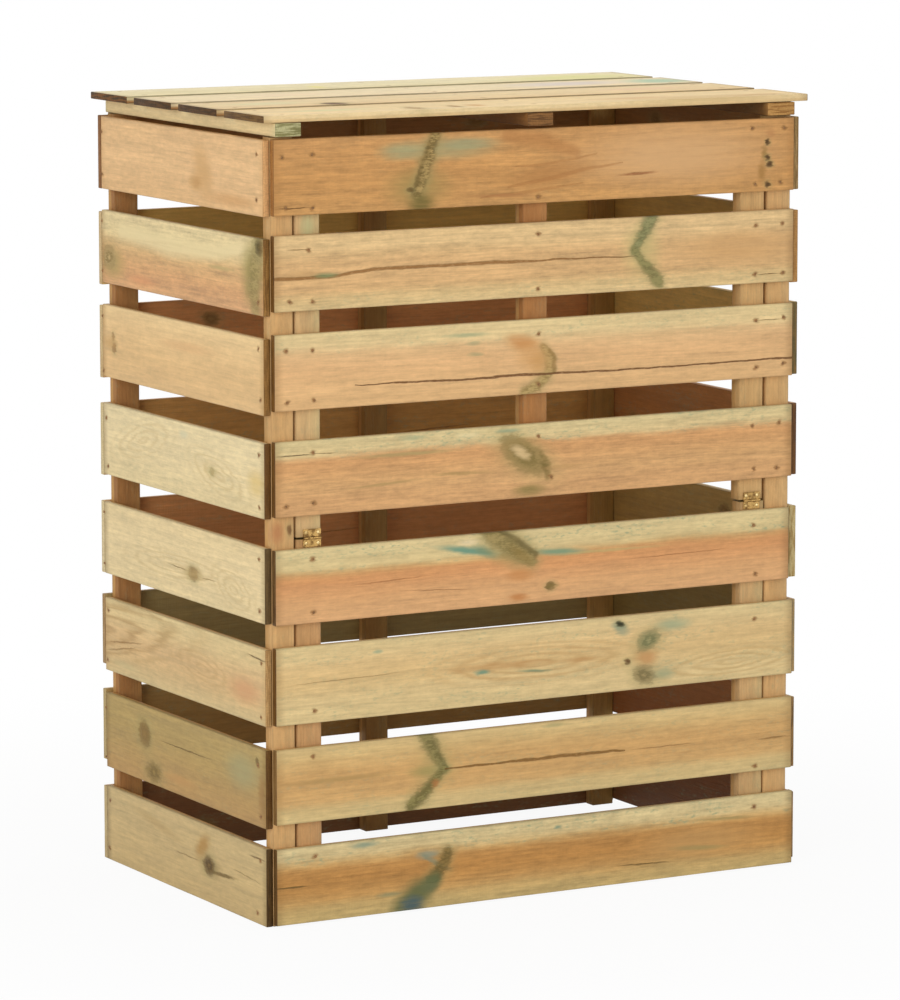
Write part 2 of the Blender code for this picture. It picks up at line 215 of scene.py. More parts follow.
class Graph:
    """The node graph of a material or of the world."""

    def __init__(self, owner: bpy.types.Material | bpy.types.World) -> None:
        """Empties the owner's node tree.

        Args:
            owner: The material or world that the graph belongs to.
        """
        self.owner = owner
        owner.use_nodes = True
        self.tree = owner.node_tree
        self.tree.nodes.clear()

    def add(
        self,
        kind: str,
        settings: Mapping[str, object] | None = None,
        inputs: Mapping[int | str, object] | None = None,
        output: int | str = 0,
    ) -> Shade:
        """Adds one node.

        Args:
            kind: Blender's name of the node type.
            settings: Properties of the node, set before its sockets; "stops" fills a colour ramp.
            inputs: Values or links of its sockets, by number or name.
            output: The socket to return.

        Returns:
            The chosen output.
        """
        node = self.tree.nodes.new(kind)
        for name, value in (settings or {}).items():
            if name == "stops":
                self._fill_ramp(node.color_ramp, value)
            else:
                setattr(node, name, value)
        for key, value in (inputs or {}).items():
            socket = node.inputs[key]
            if isinstance(value, Shade):
                self.tree.links.new(value.socket, socket)
            else:
                socket.default_value = value
        return Shade(self, node.outputs[output]) if node.outputs else Shade(self, None)

    @staticmethod
    def _fill_ramp(ramp: bpy.types.ColorRamp, stops: tuple[tuple[float, Tint], ...]) -> None:
        """Writes colour stops into a ramp.

        Args:
            ramp: The ramp of a Color Ramp node.
            stops: Position from 0 to 1 and screen colour of each stop.
        """
        ramp.interpolation = "B_SPLINE" if len(stops) > 2 else "EASE"
        while len(ramp.elements) < len(stops):
            ramp.elements.new(1.0)
        for element, (position, tint) in zip(ramp.elements, stops):
            element.position = position
            element.color = linear(tint)

    def position(self) -> Shade:
        """The point in the object's own coordinates, in metres."""
        return self.add("ShaderNodeTexCoord", output="Object")

    def split(self, vector: Shade) -> tuple[Shade, Shade, Shade]:
        """The three parts of a vector."""
        parts = self.add("ShaderNodeSeparateXYZ", inputs={0: vector}).socket.node.outputs
        return Shade(self, parts[0]), Shade(self, parts[1]), Shade(self, parts[2])

    def join(self, x: Shade | float, y: Shade | float, z: Shade | float = 0.0) -> Shade:
        """A vector from three parts."""
        return self.add("ShaderNodeCombineXYZ", inputs={0: x, 1: y, 2: z})

    def vectors(self, operation: str, *values: Shade | Vector | Triple, output: int | str = 0) -> Shade:
        """Vector Math over the values."""
        return self.add("ShaderNodeVectorMath", {"operation": operation}, dict(enumerate(values)), output)

    def pattern(self, vector: Shade, pattern: Pattern, seed: float = 0.0, output: str = "Fac") -> Shade:
        """Adds a noise.

        Args:
            vector: The point in metres.
            pattern: The noise's sizes and detail.
            seed: What makes one board's noise its own.
            output: "Fac" for one value, "Color" for three.

        Returns:
            The noise, from 0 to 1.
        """
        offset = seed + pattern.shift
        shift = (offset * 1.37, offset * 2.11, offset * 0.73)
        scaled = self.vectors("MULTIPLY_ADD", vector, pattern.sizes, shift)
        inputs = {"Vector": scaled, "Scale": 1.0, "Detail": pattern.detail, "Roughness": pattern.roughness}
        return self.add("ShaderNodeTexNoise", None, inputs, output)

    def direct_view(self) -> Shade:
        """Tells what the camera sees from what only lights the bin.

        Returns:
            1 where the camera looks straight at the surface, in a mirror or through glass, and else 0.
        """
        rays = self.add("ShaderNodeLightPath").socket.node.outputs
        kinds = ("Camera", "Glossy", "Transmission")
        camera, glossy, through = (Shade(self, rays[f"Is {kind} Ray"]) for kind in kinds)
        return camera.most(glossy).most(through)

    def mix(self, factor: Shade | float, first: Shade | Tint, second: Shade | Tint) -> Shade:
        """Mixes two colours.

        Args:
            factor: Share of the second colour.
            first: A colour socket or a screen colour.
            second: A colour socket or a screen colour.

        Returns:
            The mixed colour.
        """
        settings = {"data_type": "RGBA"}
        first = first if isinstance(first, Shade) else linear(first)
        second = second if isinstance(second, Shade) else linear(second)
        return self.add("ShaderNodeMix", settings, {0: factor, 6: first, 7: second}, 2)

    def lit(self, colour: Shade, level: Shade) -> Shade:
        """Makes a colour lighter or darker by a varying level."""
        return self.add("ShaderNodeVectorMath", {"operation": "SCALE"}, {0: colour, 3: level})

    def finish(
        self, colour: Shade, roughness: Shade | float, height: Shade, depth: float, **fixed: float
    ) -> None:
        """Closes the graph with a Principled shader.

        Args:
            colour: Base colour.
            roughness: Surface roughness.
            height: Relief of the surface from 0 to 1.
            depth: Size of that relief in metres.
            **fixed: Other sockets of the shader that are the same everywhere.
        """
        bump = self.add("ShaderNodeBump", None, {"Strength": 1.0, "Distance": depth, "Height": height})
        inputs: dict[int | str, object] = {"Base Color": colour, "Roughness": roughness, "Normal": bump}
        inputs.update({name.replace("_", " "): value for name, value in fixed.items()})
        shader = self.add("ShaderNodeBsdfPrincipled", None, inputs)
        self.add("ShaderNodeOutputMaterial", None, {"Surface": shader})


@dataclass(frozen=True)
class Mark:
    """A knot, stain or split on a board's broad face, as an ellipse or as a ribbon along a path.

    Places are in metres of the bin: the first along the grain, the second across it. A path's points carry the
    ribbon's width as a third number.
    """

    kind: MarkKind
    along: float = 0.0
    across: float = 0.0
    length: float = 0.0
    width: float = 0.0
    turn: float = 0.0
    path: tuple[tuple[float, float, float], ...] = ()
    tint: Tint = (96, 72, 34)
    heart: Tint = (150, 120, 70)
    strength: float = 0.8


def knot(along: float, across: float, length: float, width: float, turn: float = 0.0, **look: object) -> Mark:
    """A knot of this length and width."""
    return Mark(MarkKind.KNOT, along, across, length, width, turn, **look)


def stain(along: float, across: float, length: float, width: float, turn: float = 0.0, **look: object) -> Mark:
    """A soft patch of another colour."""
    return Mark(MarkKind.STAIN, along, across, length, width, turn, **look)


def split(along: float, across: float, length: float, width: float, turn: float = 0.0, **look: object) -> Mark:
    """A narrow dark crack or resin streak."""
    return Mark(MarkKind.SPLIT, along, across, length, width, turn, **look)


def swirl(along: float, across: float, length: float, width: float, turn: float = 0.0, **look: object) -> Mark:
    """Growth rings that were cut lengthwise."""
    return Mark(MarkKind.SWIRL, along, across, length, width, turn, **look)


def trace(kind: MarkKind, *path: tuple[float, float, float], **look: object) -> Mark:
    """A mark that follows a path of places and widths."""
    return Mark(kind, path=path, **look)


HONEY = (205, 160, 110)
PEACH = (216, 175, 128)
CREAM = (224, 196, 146)
SAP = (219, 194, 142)
ROSE = (208, 154, 106)
MOSS = (150, 142, 92)
TEAL = (136, 152, 120)
UMBER = (104, 72, 34)
HOLE = (78, 54, 26)


@dataclass(frozen=True)
class PineFinish:
    """How one board of pressure-treated pine looks."""

    bands: tuple[tuple[float, Tint], ...] = ((0.0, HONEY), (0.5, PEACH), (1.0, CREAM))
    # Tone of the inner face: partly the wood's own tone, and on many boards darkened as painted shade of the bin's
    # inside
    inner: Tint = (205, 156, 88)
    end: Tint = (128, 98, 56)
    end_ring: Tint = (104, 86, 44)
    # Share of the colour left at the long edges, where shade is painted
    edge: float = 0.82
    marks: tuple[Mark, ...] = ()
    nails: tuple[Point, ...] = ()
    speckle: float = 0.25
    speckle_zone: Point = (-0.5, 1.5)
    lines: float = 150.0
    contrast: float = 1.0
    wander: float = 0.10

    def material(self, board: "Board", low: Vector, high: Vector) -> bpy.types.Material:
        """Builds the board's own material.

        Args:
            board: The board that it covers.
            low: Lowest corner of the board.
            high: Highest corner of the board.

        Returns:
            The finished material.
        """
        graph = Graph(bpy.data.materials.new(f"{board.node}_pine"))
        lay, seed = board.lay, board.seed
        parts = graph.split(graph.position())
        along, across, deep = (parts[axis.value] for axis in (lay.grain, lay.wide, lay.face))
        raw = graph.join(along, across, deep)
        drift = graph.pattern(raw, DRIFT, seed)
        grains = {pattern: graph.pattern(raw, pattern, seed) for pattern in WOOD}
        fibres, streaks, mottle, blotches, specks, sawing = grains.values()
        flat = graph.join(along, across)
        ragged = self._moved(graph, flat, graph.pattern(raw, RAGGED, seed, "Color"), RAGGED_REACH)
        smooth = self._moved(graph, flat, graph.pattern(raw, SWAY, seed, "Color"), SWAY_REACH)

        bent = across + (drift - 0.5) * 0.012
        flow = bent
        for mark in self.marks:
            if mark.kind is MarkKind.KNOT and mark.width > SMALL_KNOT:
                place = self._ellipse(graph, mark, flat)
                push = graph.split(place)[1] * self._distance(graph, place).ramp(0.3, 2.4, 1.0, 0.0)
                bent = bent - push * (mark.width * 0.2)
                flow = flow - push * (mark.width * 0.9)

        low_edge, high_edge = low[lay.wide.value], high[lay.wide.value]
        share = (bent - low_edge) * (1.0 / (high_edge - low_edge))
        share = share + (mottle - 0.5) * self.wander + (streaks - 0.5) * 0.09
        colour = graph.add("ShaderNodeValToRGB", {"stops": self.bands}, {0: share})

        middle = (low[lay.face.value] + high[lay.face.value]) / 2
        outer = ((deep - middle) * (-lay.outward)).ramp(-0.001, 0.002, 1.0, 0.0)
        # Painted shade: the inner face takes the inner tone, which stands in for the shade inside the bin
        colour = graph.mix((1.0 - outer) * 0.9, colour, self.inner)

        turns = flow * (self.lines * math.tau) + (drift - 0.5) * 30.0 + (streaks - 0.5) * 11.0
        late = (turns.sine() * 0.5 + 0.5) ** 3.0 * mottle.ramp(0.30, 0.62)
        level = 1.005 - late * (0.045 * self.contrast)
        for pattern, grain in grains.items():
            level = level + (grain - 0.5) * (pattern.tone * self.contrast)
        colour = graph.lit(colour, level)
        if self.speckle:
            colour = self._speckled(graph, colour, raw, share, seed)

        grooves: Shade | float = 0.0
        for mark in self.marks:
            face = smooth if mark.path else ragged
            colour, cut = self._paint(graph, mark, colour, face, (streaks, specks, blotches, outer))
            grooves = cut.most(grooves)
        if self.nails:
            colour = self._nail_dirt(graph, colour, ragged, streaks)

        colour = self._edges(graph, board, colour, (along, across, deep), (low, high), streaks)
        height = fibres * 0.5 - late * 0.22 + streaks * 0.3 + sawing * 0.35 - grooves * 1.6
        rough = 0.60 + (streaks - 0.5) * 0.22 + (mottle - 0.5) * 0.12
        graph.finish(colour, rough, height, WOOD_RELIEF, Specular_IOR_Level=0.22)
        return graph.owner

    @staticmethod
    def _moved(graph: Graph, flat: Shade, shake: Shade, reach: Triple) -> Shade:
        """Moves a point on the board's face by up to half the reach, either way."""
        shift = graph.vectors("MULTIPLY_ADD", shake, reach, tuple(-part / 2 for part in reach))
        return graph.vectors("ADD", flat, shift)

    def _speckled(self, graph: Graph, colour: Shade, raw: Shade, share: Shade, seed: float) -> Shade:
        """Adds the green flecks of the treatment salts.

        Args:
            graph: The material's graph.
            colour: The colour under them.
            raw: The point along, across and through the board.
            share: How far the point is across the board, from 0 to 1.
            seed: The board's seed.

        Returns:
            The new colour.
        """
        dots = graph.pattern(raw, SALT_DOTS, seed)
        patches = graph.pattern(raw, SALT_PATCHES, seed)
        green = (dots.ramp(0.48, 0.78) * 0.8 + patches.ramp(0.52, 0.80) * 0.25) * patches.ramp(0.36, 0.66)
        start, end = self.speckle_zone
        zone = share.ramp(start - 0.04, start + 0.04) * share.ramp(end - 0.04, end + 0.04, 1.0, 0.0)
        return graph.mix(green * zone * self.speckle, colour, TEAL)

    @staticmethod
    def _ellipse(graph: Graph, mark: Mark, plane: Shade) -> Shade:
        """Finds the point in the mark's own frame, where its rim lies at a distance of 1.

        Args:
            graph: The material's graph.
            mark: The mark.
            plane: The point on the board's face.

        Returns:
            The point in that frame.
        """
        inputs = {
            "Vector": plane,
            "Location": (mark.along, mark.across, 0.0),
            "Rotation": (0.0, 0.0, math.radians(mark.turn)),
            "Scale": (mark.length / 2, mark.width / 2, 1.0),
        }
        return graph.add("ShaderNodeMapping", {"vector_type": "TEXTURE"}, inputs)

    @staticmethod
    def _distance(graph: Graph, place: Shade) -> Shade:
        """How far a point is from the middle of its frame."""
        return graph.vectors("LENGTH", place, output="Value")

    def _reach(self, graph: Graph, mark: Mark, plane: Shade) -> Shade:
        """How far a point is from a mark's middle, where the mark's rim lies at a distance of 1.

        Args:
            graph: The material's graph.
            mark: The mark.
            plane: The point on the board's face.

        Returns:
            The distance, in shares of half the mark's width.
        """
        if not mark.path:
            return self._distance(graph, self._ellipse(graph, mark, plane))
        nearest: Shade | None = None
        for first, second in zip(mark.path, mark.path[1:]):
            run = Vector((second[0] - first[0], second[1] - first[1], 0.0))
            offset = graph.vectors("SUBTRACT", plane, (first[0], first[1], 0.0))
            share = graph.vectors("DOT_PRODUCT", offset, run / run.length_squared, output="Value")
            share = share.most(0.0).least(1.0)
            foot = graph.add("ShaderNodeVectorMath", {"operation": "SCALE"}, {0: run, 3: share})
            gap = graph.vectors("DISTANCE", offset, foot, output="Value")
            reach = gap / (share * ((second[2] - first[2]) / 2) + first[2] / 2)
            nearest = reach if nearest is None else nearest.least(reach)
        return nearest

    def _paint(
        self, graph: Graph, mark: Mark, colour: Shade, plane: Shade, grains: tuple[Shade, Shade, Shade, Shade]
    ) -> tuple[Shade, Shade]:
        """Paints one mark over a board's colour.

        Args:
            graph: The material's graph.
            mark: The mark to paint.
            colour: The colour under it.
            plane: The point on the board's face, with a ragged edge.
            grains: Noise of the grain's streaks, of fine specks and of larger blotches, then the mask of the
                outer face.

        Returns:
            The new colour, and how deep the mark is cut, from 0 to 1.
        """
        streaks, specks, blotches, outer = grains
        reach = self._reach(graph, mark, plane)
        if mark.kind is MarkKind.STAIN:
            cover = reach.ramp(0.15, 1.0, 1.0, 0.0) * (streaks * 1.5 + 0.25).least(1.0)
            cover = cover * (outer * mark.strength)
            return graph.mix(cover, colour, mark.tint), cover * 0.0
        if mark.kind is MarkKind.SPLIT:
            cover = reach.ramp(0.35, 1.10, 1.0, 0.0) * mark.strength * specks.ramp(0.25, 0.55, 0.7, 1.0)
            return graph.mix(cover, colour, mark.tint), cover
        if mark.kind is MarkKind.SWIRL:
            ring = ((reach * 24.0 + streaks * 9.0).sine() * 0.5 + 0.5) ** 2.0
            ring = ring * reach.ramp(0.55, 1.2, 1.0, 0.0) * mark.strength * streaks.ramp(0.30, 0.60, 0.4, 1.0)
            return graph.mix(ring, colour, mark.tint), ring * 0.1
        broad = bool(mark.path) or mark.length > 0.018
        halo = reach.ramp(0.6, 2.3, 0.42, 0.0) * (streaks * 1.4 + 0.2).least(1.0) * mark.strength
        clots = blotches * 0.6 + specks * 0.4
        soft = reach + (clots - 0.5) * (2.2 if mark.path else 1.0)
        body = soft.ramp(0.35, 1.35, 1.0, 0.0) * mark.strength
        rim = abs(soft - 0.82).ramp(0.0, 0.40, 1.0, 0.0) * mark.strength
        if mark.path:
            rings = clots.ramp(0.42, 0.58) * 0.75 + soft.ramp(0.3, 0.9) * 0.25
        else:
            rings = ((reach * 8.0 + specks * 6.0 + streaks * 3.0).sine() * 0.5 + 0.5) * 0.7 + 0.15
        colour = graph.mix(halo, colour, MOSS)
        colour = graph.mix(body, colour, graph.mix(rings, mark.heart, mark.tint) if broad else mark.tint)
        if not mark.path:
            colour = graph.mix(rim * 0.34, colour, mark.tint)
        return colour, rim * 0.3

    def _nail_dirt(self, graph: Graph, colour: Shade, plane: Shade, streaks: Shade) -> Shade:
        """Darkens the wood round the nails.

        Args:
            graph: The material's graph.
            colour: The colour under the dirt.
            plane: The point on the board's face.
            streaks: Broad grain noise.

        Returns:
            The new colour.
        """
        nearest: Shade | None = None
        for spot in self.nails:
            reach = self._distance(graph, self._ellipse(graph, stain(*spot, *NAIL_RING), plane))
            nearest = reach if nearest is None else nearest.least(reach)
        cover = nearest.ramp(0.35, 1.35, 0.8, 0.0) * (streaks * 0.9 + 0.5).least(1.0)
        return graph.mix(cover, colour, NAIL_DIRT)

    def _edges(
        self,
        graph: Graph,
        board: "Board",
        colour: Shade,
        places: tuple[Shade, Shade, Shade],
        box: tuple[Vector, Vector],
        streaks: Shade,
    ) -> Shade:
        """Paints shade along the long edges and round the rims of the sawn ends, and gives the sawn ends their own
        colour.

        Args:
            graph: The material's graph.
            board: The board.
            colour: The colour so far.
            places: Distance along, across and through the board.
            box: Lowest and highest corner of the board.
            streaks: Broad grain noise.

        Returns:
            The new colour.
        """
        along, across, deep = places
        low, high = box
        grain, wide, thick = (axis.value for axis in (board.lay.grain, board.lay.wide, board.lay.face))
        to_side = (across - low[wide]).least(high[wide] - across)
        to_face = (deep - low[thick]).least(high[thick] - deep)
        # Painted shade along the long edges
        colour = graph.lit(colour, to_side.most(to_face).ramp(0.0004, 0.0026, self.edge, 1.0))
        to_end = (along - low[grain]).least(high[grain] - along)
        end_face = graph.join(across, deep)
        end_grain = graph.pattern(end_face, END_FIBRES, board.seed)
        arcs = graph.pattern(end_face, END_ARCS, board.seed)
        # Painted contact shade round the rims of the sawn ends
        rim = to_side.least(to_face).ramp(0.0, 0.0014, 0.62, 1.0)
        sawn = graph.mix(arcs.ramp(0.4, 0.62), self.end, self.end_ring)
        sawn = graph.lit(sawn, (end_grain * 0.9 + 0.56) * rim)
        soaked = to_end.ramp(0.0, 0.016, 0.44, 0.0) * (streaks * 1.6).least(1.0)
        colour = graph.mix(soaked, colour, self.end)
        return graph.mix(to_end.ramp(0.0005, 0.0011, 1.0, 0.0), colour, sawn)


@dataclass(frozen=True)
class Lay:
    """How boards lie: their directions along, across and through, and the side of their good face."""

    grain: Axis
    wide: Axis
    face: Axis
    outward: float


@dataclass
class Board:
    """One sawn board, batten or post, which stands for the CAD node of the same name."""

    node: str
    body: str
    slot: str
    lay: Lay
    finish: PineFinish
    seed: float = 0.0
    ease: float = 0.0011
    wear: float = 0.0004
    stations: int = 44

    def build(self) -> bpy.types.Object:
        """Builds the board's mesh and dresses it.

        Returns:
            The finished piece.
        """
        low, high = (Vector(corner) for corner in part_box(self.node))
        bm = bmesh.new()
        bmesh.ops.create_cube(bm, size=1.0)
        bmesh.ops.scale(bm, vec=high - low, verts=bm.verts)
        bmesh.ops.translate(bm, vec=(low + high) / 2, verts=bm.verts)
        bmesh.ops.bevel(
            bm,
            geom=bm.edges[:],
            offset=self.ease,
            offset_type="OFFSET",
            segments=3,
            profile=0.5,
            affect="EDGES",
            material=-1,
        )
        self._cut_stations(bm, low, high)
        self._wear(bm, low, high)
        bmesh.ops.recalc_face_normals(bm, faces=bm.faces)
        piece = new_piece(f"{self.node}_board", bm, self.body)
        piece.data.materials.append(self.finish.material(self, low, high))
        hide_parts(self.node)
        LOG.info("board %s: %d faces", self.node, len(piece.data.polygons))
        return piece

    def _cut_stations(self, bm: bmesh.types.BMesh, low: Vector, high: Vector) -> None:
        """Cuts the board across its grain, so that its edges can wander.

        Args:
            bm: The board's mesh.
            low: Lowest corner of the board.
            high: Highest corner of the board.
        """
        grain = self.lay.grain
        start, end = low[grain.value], high[grain.value]
        for number in range(1, self.stations):
            point = grain.vector * (start + (end - start) * (number / self.stations))
            geometry = bm.verts[:] + bm.edges[:] + bm.faces[:]
            bmesh.ops.bisect_plane(bm, geom=geometry, plane_co=point, plane_no=grain.vector, dist=1e-6)

    def _wear(self, bm: bmesh.types.BMesh, low: Vector, high: Vector) -> None:
        """Draws the sides and edges in by a fraction of a millimetre, as a saw and handling leave them.

        Args:
            bm: The board's mesh.
            low: Lowest corner of the board.
            high: Highest corner of the board.
        """
        middle = (low + high) / 2
        half = (high - low) / 2
        for vert in bm.verts:
            offset = vert.co - middle
            along = vert.co[self.lay.grain.value]
            for axis in (self.lay.wide, self.lay.face):
                index = axis.value
                other = 1 - index if index < 2 else 0
                side = 1.0 if offset[index] > 0 else -1.0
                sway = noise.noise(Vector((along * 9.0, side * 3.0 + self.seed, index * 5.0)))
                chip = noise.noise(Vector((along * 70.0, side * 7.0 + self.seed, index * 2.0)))
                corner = abs(offset[other]) / max(half[other], 1e-6)
                loss = self.wear * (0.5 + 0.5 * sway) + self.wear * 1.2 * max(0.0, chip - 0.25) * corner
                if abs(offset[index]) > half[index] - self.ease * 1.5:
                    vert.co[index] -= side * loss


def new_piece(name: str, bm: bmesh.types.BMesh, body: str) -> bpy.types.Object:
    """Turns a bmesh into a piece that rides on a body.

    Args:
        name: Name of the piece.
        bm: Its mesh, which is freed.
        body: The body that carries it.

    Returns:
        The new object.
    """
    mesh = bpy.data.meshes.new(name)
    bm.to_mesh(mesh)
    bm.free()
    for face in mesh.polygons:
        face.use_smooth = True
    mesh.set_sharp_from_angle(angle=math.radians(34))
    piece = bpy.data.objects.new(name, mesh)
    bpy.context.scene.collection.objects.link(piece)
    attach(piece, body)
    return piece


@dataclass(frozen=True)
class NailFinish:
    """Dull wire nails, darkened by treatment salts."""

    bright: Tint = (154, 112, 66)
    dark: Tint = (108, 74, 40)
    relief: float = 0.0001

    def material(self) -> bpy.types.Material:
        """Builds the nails' material.

        Returns:
            The finished material.
        """
        graph = Graph(bpy.data.materials.new("dark_nail_steel"))
        place = graph.position()
        patches = graph.pattern(place, Pattern((420.0, 420.0, 420.0), 1.0))
        pits = graph.pattern(place, Pattern((2600.0, 2600.0, 2600.0), 2.0, 2.0, 0.5))
        colour = graph.mix(patches.ramp(0.35, 0.65), self.dark, self.bright)
        graph.finish(colour, 0.45 + patches * 0.35, pits, self.relief, Metallic=0.1)
        return graph.owner


@dataclass
class NailRow:
    """The nails of one wall, joined into one piece."""

    name: str
    body: str
    slot: str
    lay: Lay
    level: float
    spots: tuple[Vector, ...]
    radius: float = 0.0019
    taper: float = 0.93
    height: float = 0.0012
    crown: float = 0.0003
    rounding: float = 0.0005

    def build(self, material: bpy.types.Material) -> bpy.types.Object:
        """Builds one domed head at every spot.

        Args:
            material: The nails' material.

        Returns:
            The finished piece.
        """
        bm = bmesh.new()
        out = self.lay.face.vector * self.lay.outward
        turn = out.to_track_quat("Z", "Y").to_matrix().to_4x4()
        for spot in self.spots:
            place = spot.copy()
            place[self.lay.face.value] = self.level + self.lay.outward * (self.crown - self.height / 2)
            head = bmesh.ops.create_cone(
                bm,
                cap_ends=True,
                segments=14,
                radius1=self.radius,
                radius2=self.radius * self.taper,
                depth=self.height,
                matrix=Matrix.Translation(place) @ turn,
            )
            edges = {edge for vert in head["verts"] for edge in vert.link_edges}
            rim = [
                edge
                for edge in edges
                if all((vert.co - place).dot(out) > self.height / 4 for vert in edge.verts)
            ]
            bmesh.ops.bevel(
                bm,
                geom=rim,
                offset=self.rounding,
                offset_type="OFFSET",
                segments=2,
                profile=0.5,
                affect="EDGES",
                material=-1,
            )
        piece = new_piece(self.name, bm, self.body)
        piece.data.materials.append(material)
        LOG.info("%s: %d nails", self.name, len(self.spots))
        return piece


@dataclass(frozen=True)
class BrassFinish:
    """Stamped brass with scuffs and a little tarnish."""

    bright: Tint = (184, 148, 88)
    dull: Tint = (98, 68, 32)
    name: str = "stamped_brass"
    relief: float = 0.00003

    def material(self) -> bpy.types.Material:
        """Builds the hinges' material.

        Returns:
            The finished material.
        """
        graph = Graph(bpy.data.materials.new(self.name))
        place = graph.position()
        tarnish = graph.pattern(place, Pattern((150.0, 150.0, 150.0), 4.0, 3.0, 0.55))
        scuffs = graph.pattern(place, Pattern((300.0, 2400.0, 2400.0), 1.0, 2.0, 0.5))
        grain = graph.pattern(place, Pattern((3800.0, 3800.0, 3800.0), 9.0, 2.0, 0.5))
        cover = tarnish.ramp(0.42, 0.66) * 0.8 + scuffs.ramp(0.55, 0.75) * 0.2
        colour = graph.mix(cover, self.bright, self.dull)
        graph.finish(colour, 0.26 + cover * 0.3, grain + scuffs * 0.6, self.relief, Metallic=0.85)
        return graph.owner


@dataclass
class HingeScrews:
    """The countersunk cross-head screws of one hinge leaf."""

    node: str
    body: str
    spots: tuple[Vector, ...]
    outward: float
    radius: float = 0.0021
    flatness: float = 0.24
    first_turn: float = 0.6
    next_turn: float = 1.1

    def build(self, material: bpy.types.Material) -> bpy.types.Object:
        """Builds the leaf's screws as one piece.

        Args:
            material: The brass.

        Returns:
            The finished piece.
        """
        bm = bmesh.new()
        turn = (Axis.Y.vector * self.outward).to_track_quat("Z", "Y").to_matrix().to_4x4()
        for number, spot in enumerate(self.spots):
            spin = Matrix.Rotation(self.first_turn + number * self.next_turn, 4, "Z")
            place = Matrix.Translation(spot) @ turn @ spin
            head = bmesh.ops.create_uvsphere(bm, u_segments=20, v_segments=12, radius=self.radius)
            bmesh.ops.scale(bm, vec=(1.0, 1.0, self.flatness), verts=head["verts"])
            bmesh.ops.transform(bm, matrix=place, verts=head["verts"])
            for angle in (0.0, math.pi / 2):
                self._slot(bm, place @ Matrix.Rotation(angle, 4, "Z"))
        piece = new_piece(f"{self.node}_screws", bm, self.body)
        piece.data.materials.append(material)
        LOG.info("screws of %s", self.node)
        return piece

    def _slot(self, bm: bmesh.types.BMesh, place: Matrix) -> None:
        """Adds one raised lip of the driver recess.

        Args:
            bm: The screws' mesh.
            place: Place and turn of the recess.
        """
        bar = bmesh.ops.create_cube(bm, size=1.0)
        bmesh.ops.scale(bm, vec=(self.radius * 1.25, self.radius * 0.26, 0.0004), verts=bar["verts"])
        bmesh.ops.translate(bm, vec=(0.0, 0.0, self.radius * 0.19), verts=bar["verts"])
        bmesh.ops.transform(bm, matrix=place, verts=bar["verts"])


# Keeps the noise of one board apart from the next one's
BOARD_SEED_STEP = 5.3


@dataclass
class Wall:
    """A sub-assembly of boards that share a body, a face and a way of lying."""

    name: str
    body: str
    slot: str
    lay: Lay
    finishes: dict[str, PineFinish]
    level: float = 0.0
    seed: float = 0.0

    def build(self, nail_steel: bpy.types.Material | None = None) -> None:
        """Builds the boards, and their nails where a steel is given.

        Args:
            nail_steel: The nails' material.
        """
        for number, (node, finish) in enumerate(self.finishes.items()):
            seed = self.seed + number * BOARD_SEED_STEP
            Board(node, self.body, self.slot, self.lay, finish, seed).build()
        if nail_steel:
            self._nail(nail_steel)

    def _nail(self, nail_steel: bpy.types.Material) -> None:
        """Adds the nails that the finishes name.

        Args:
            nail_steel: The nails' material.
        """
        spots = []
        for finish in self.finishes.values():
            for along, across in finish.nails:
                spot = Vector()
                spot[self.lay.grain.value] = along
                spot[self.lay.wide.value] = across
                spots.append(spot)
        row = NailRow(f"{self.name}_nails", self.body, self.slot, self.lay, self.level, tuple(spots))
        row.build(nail_steel)


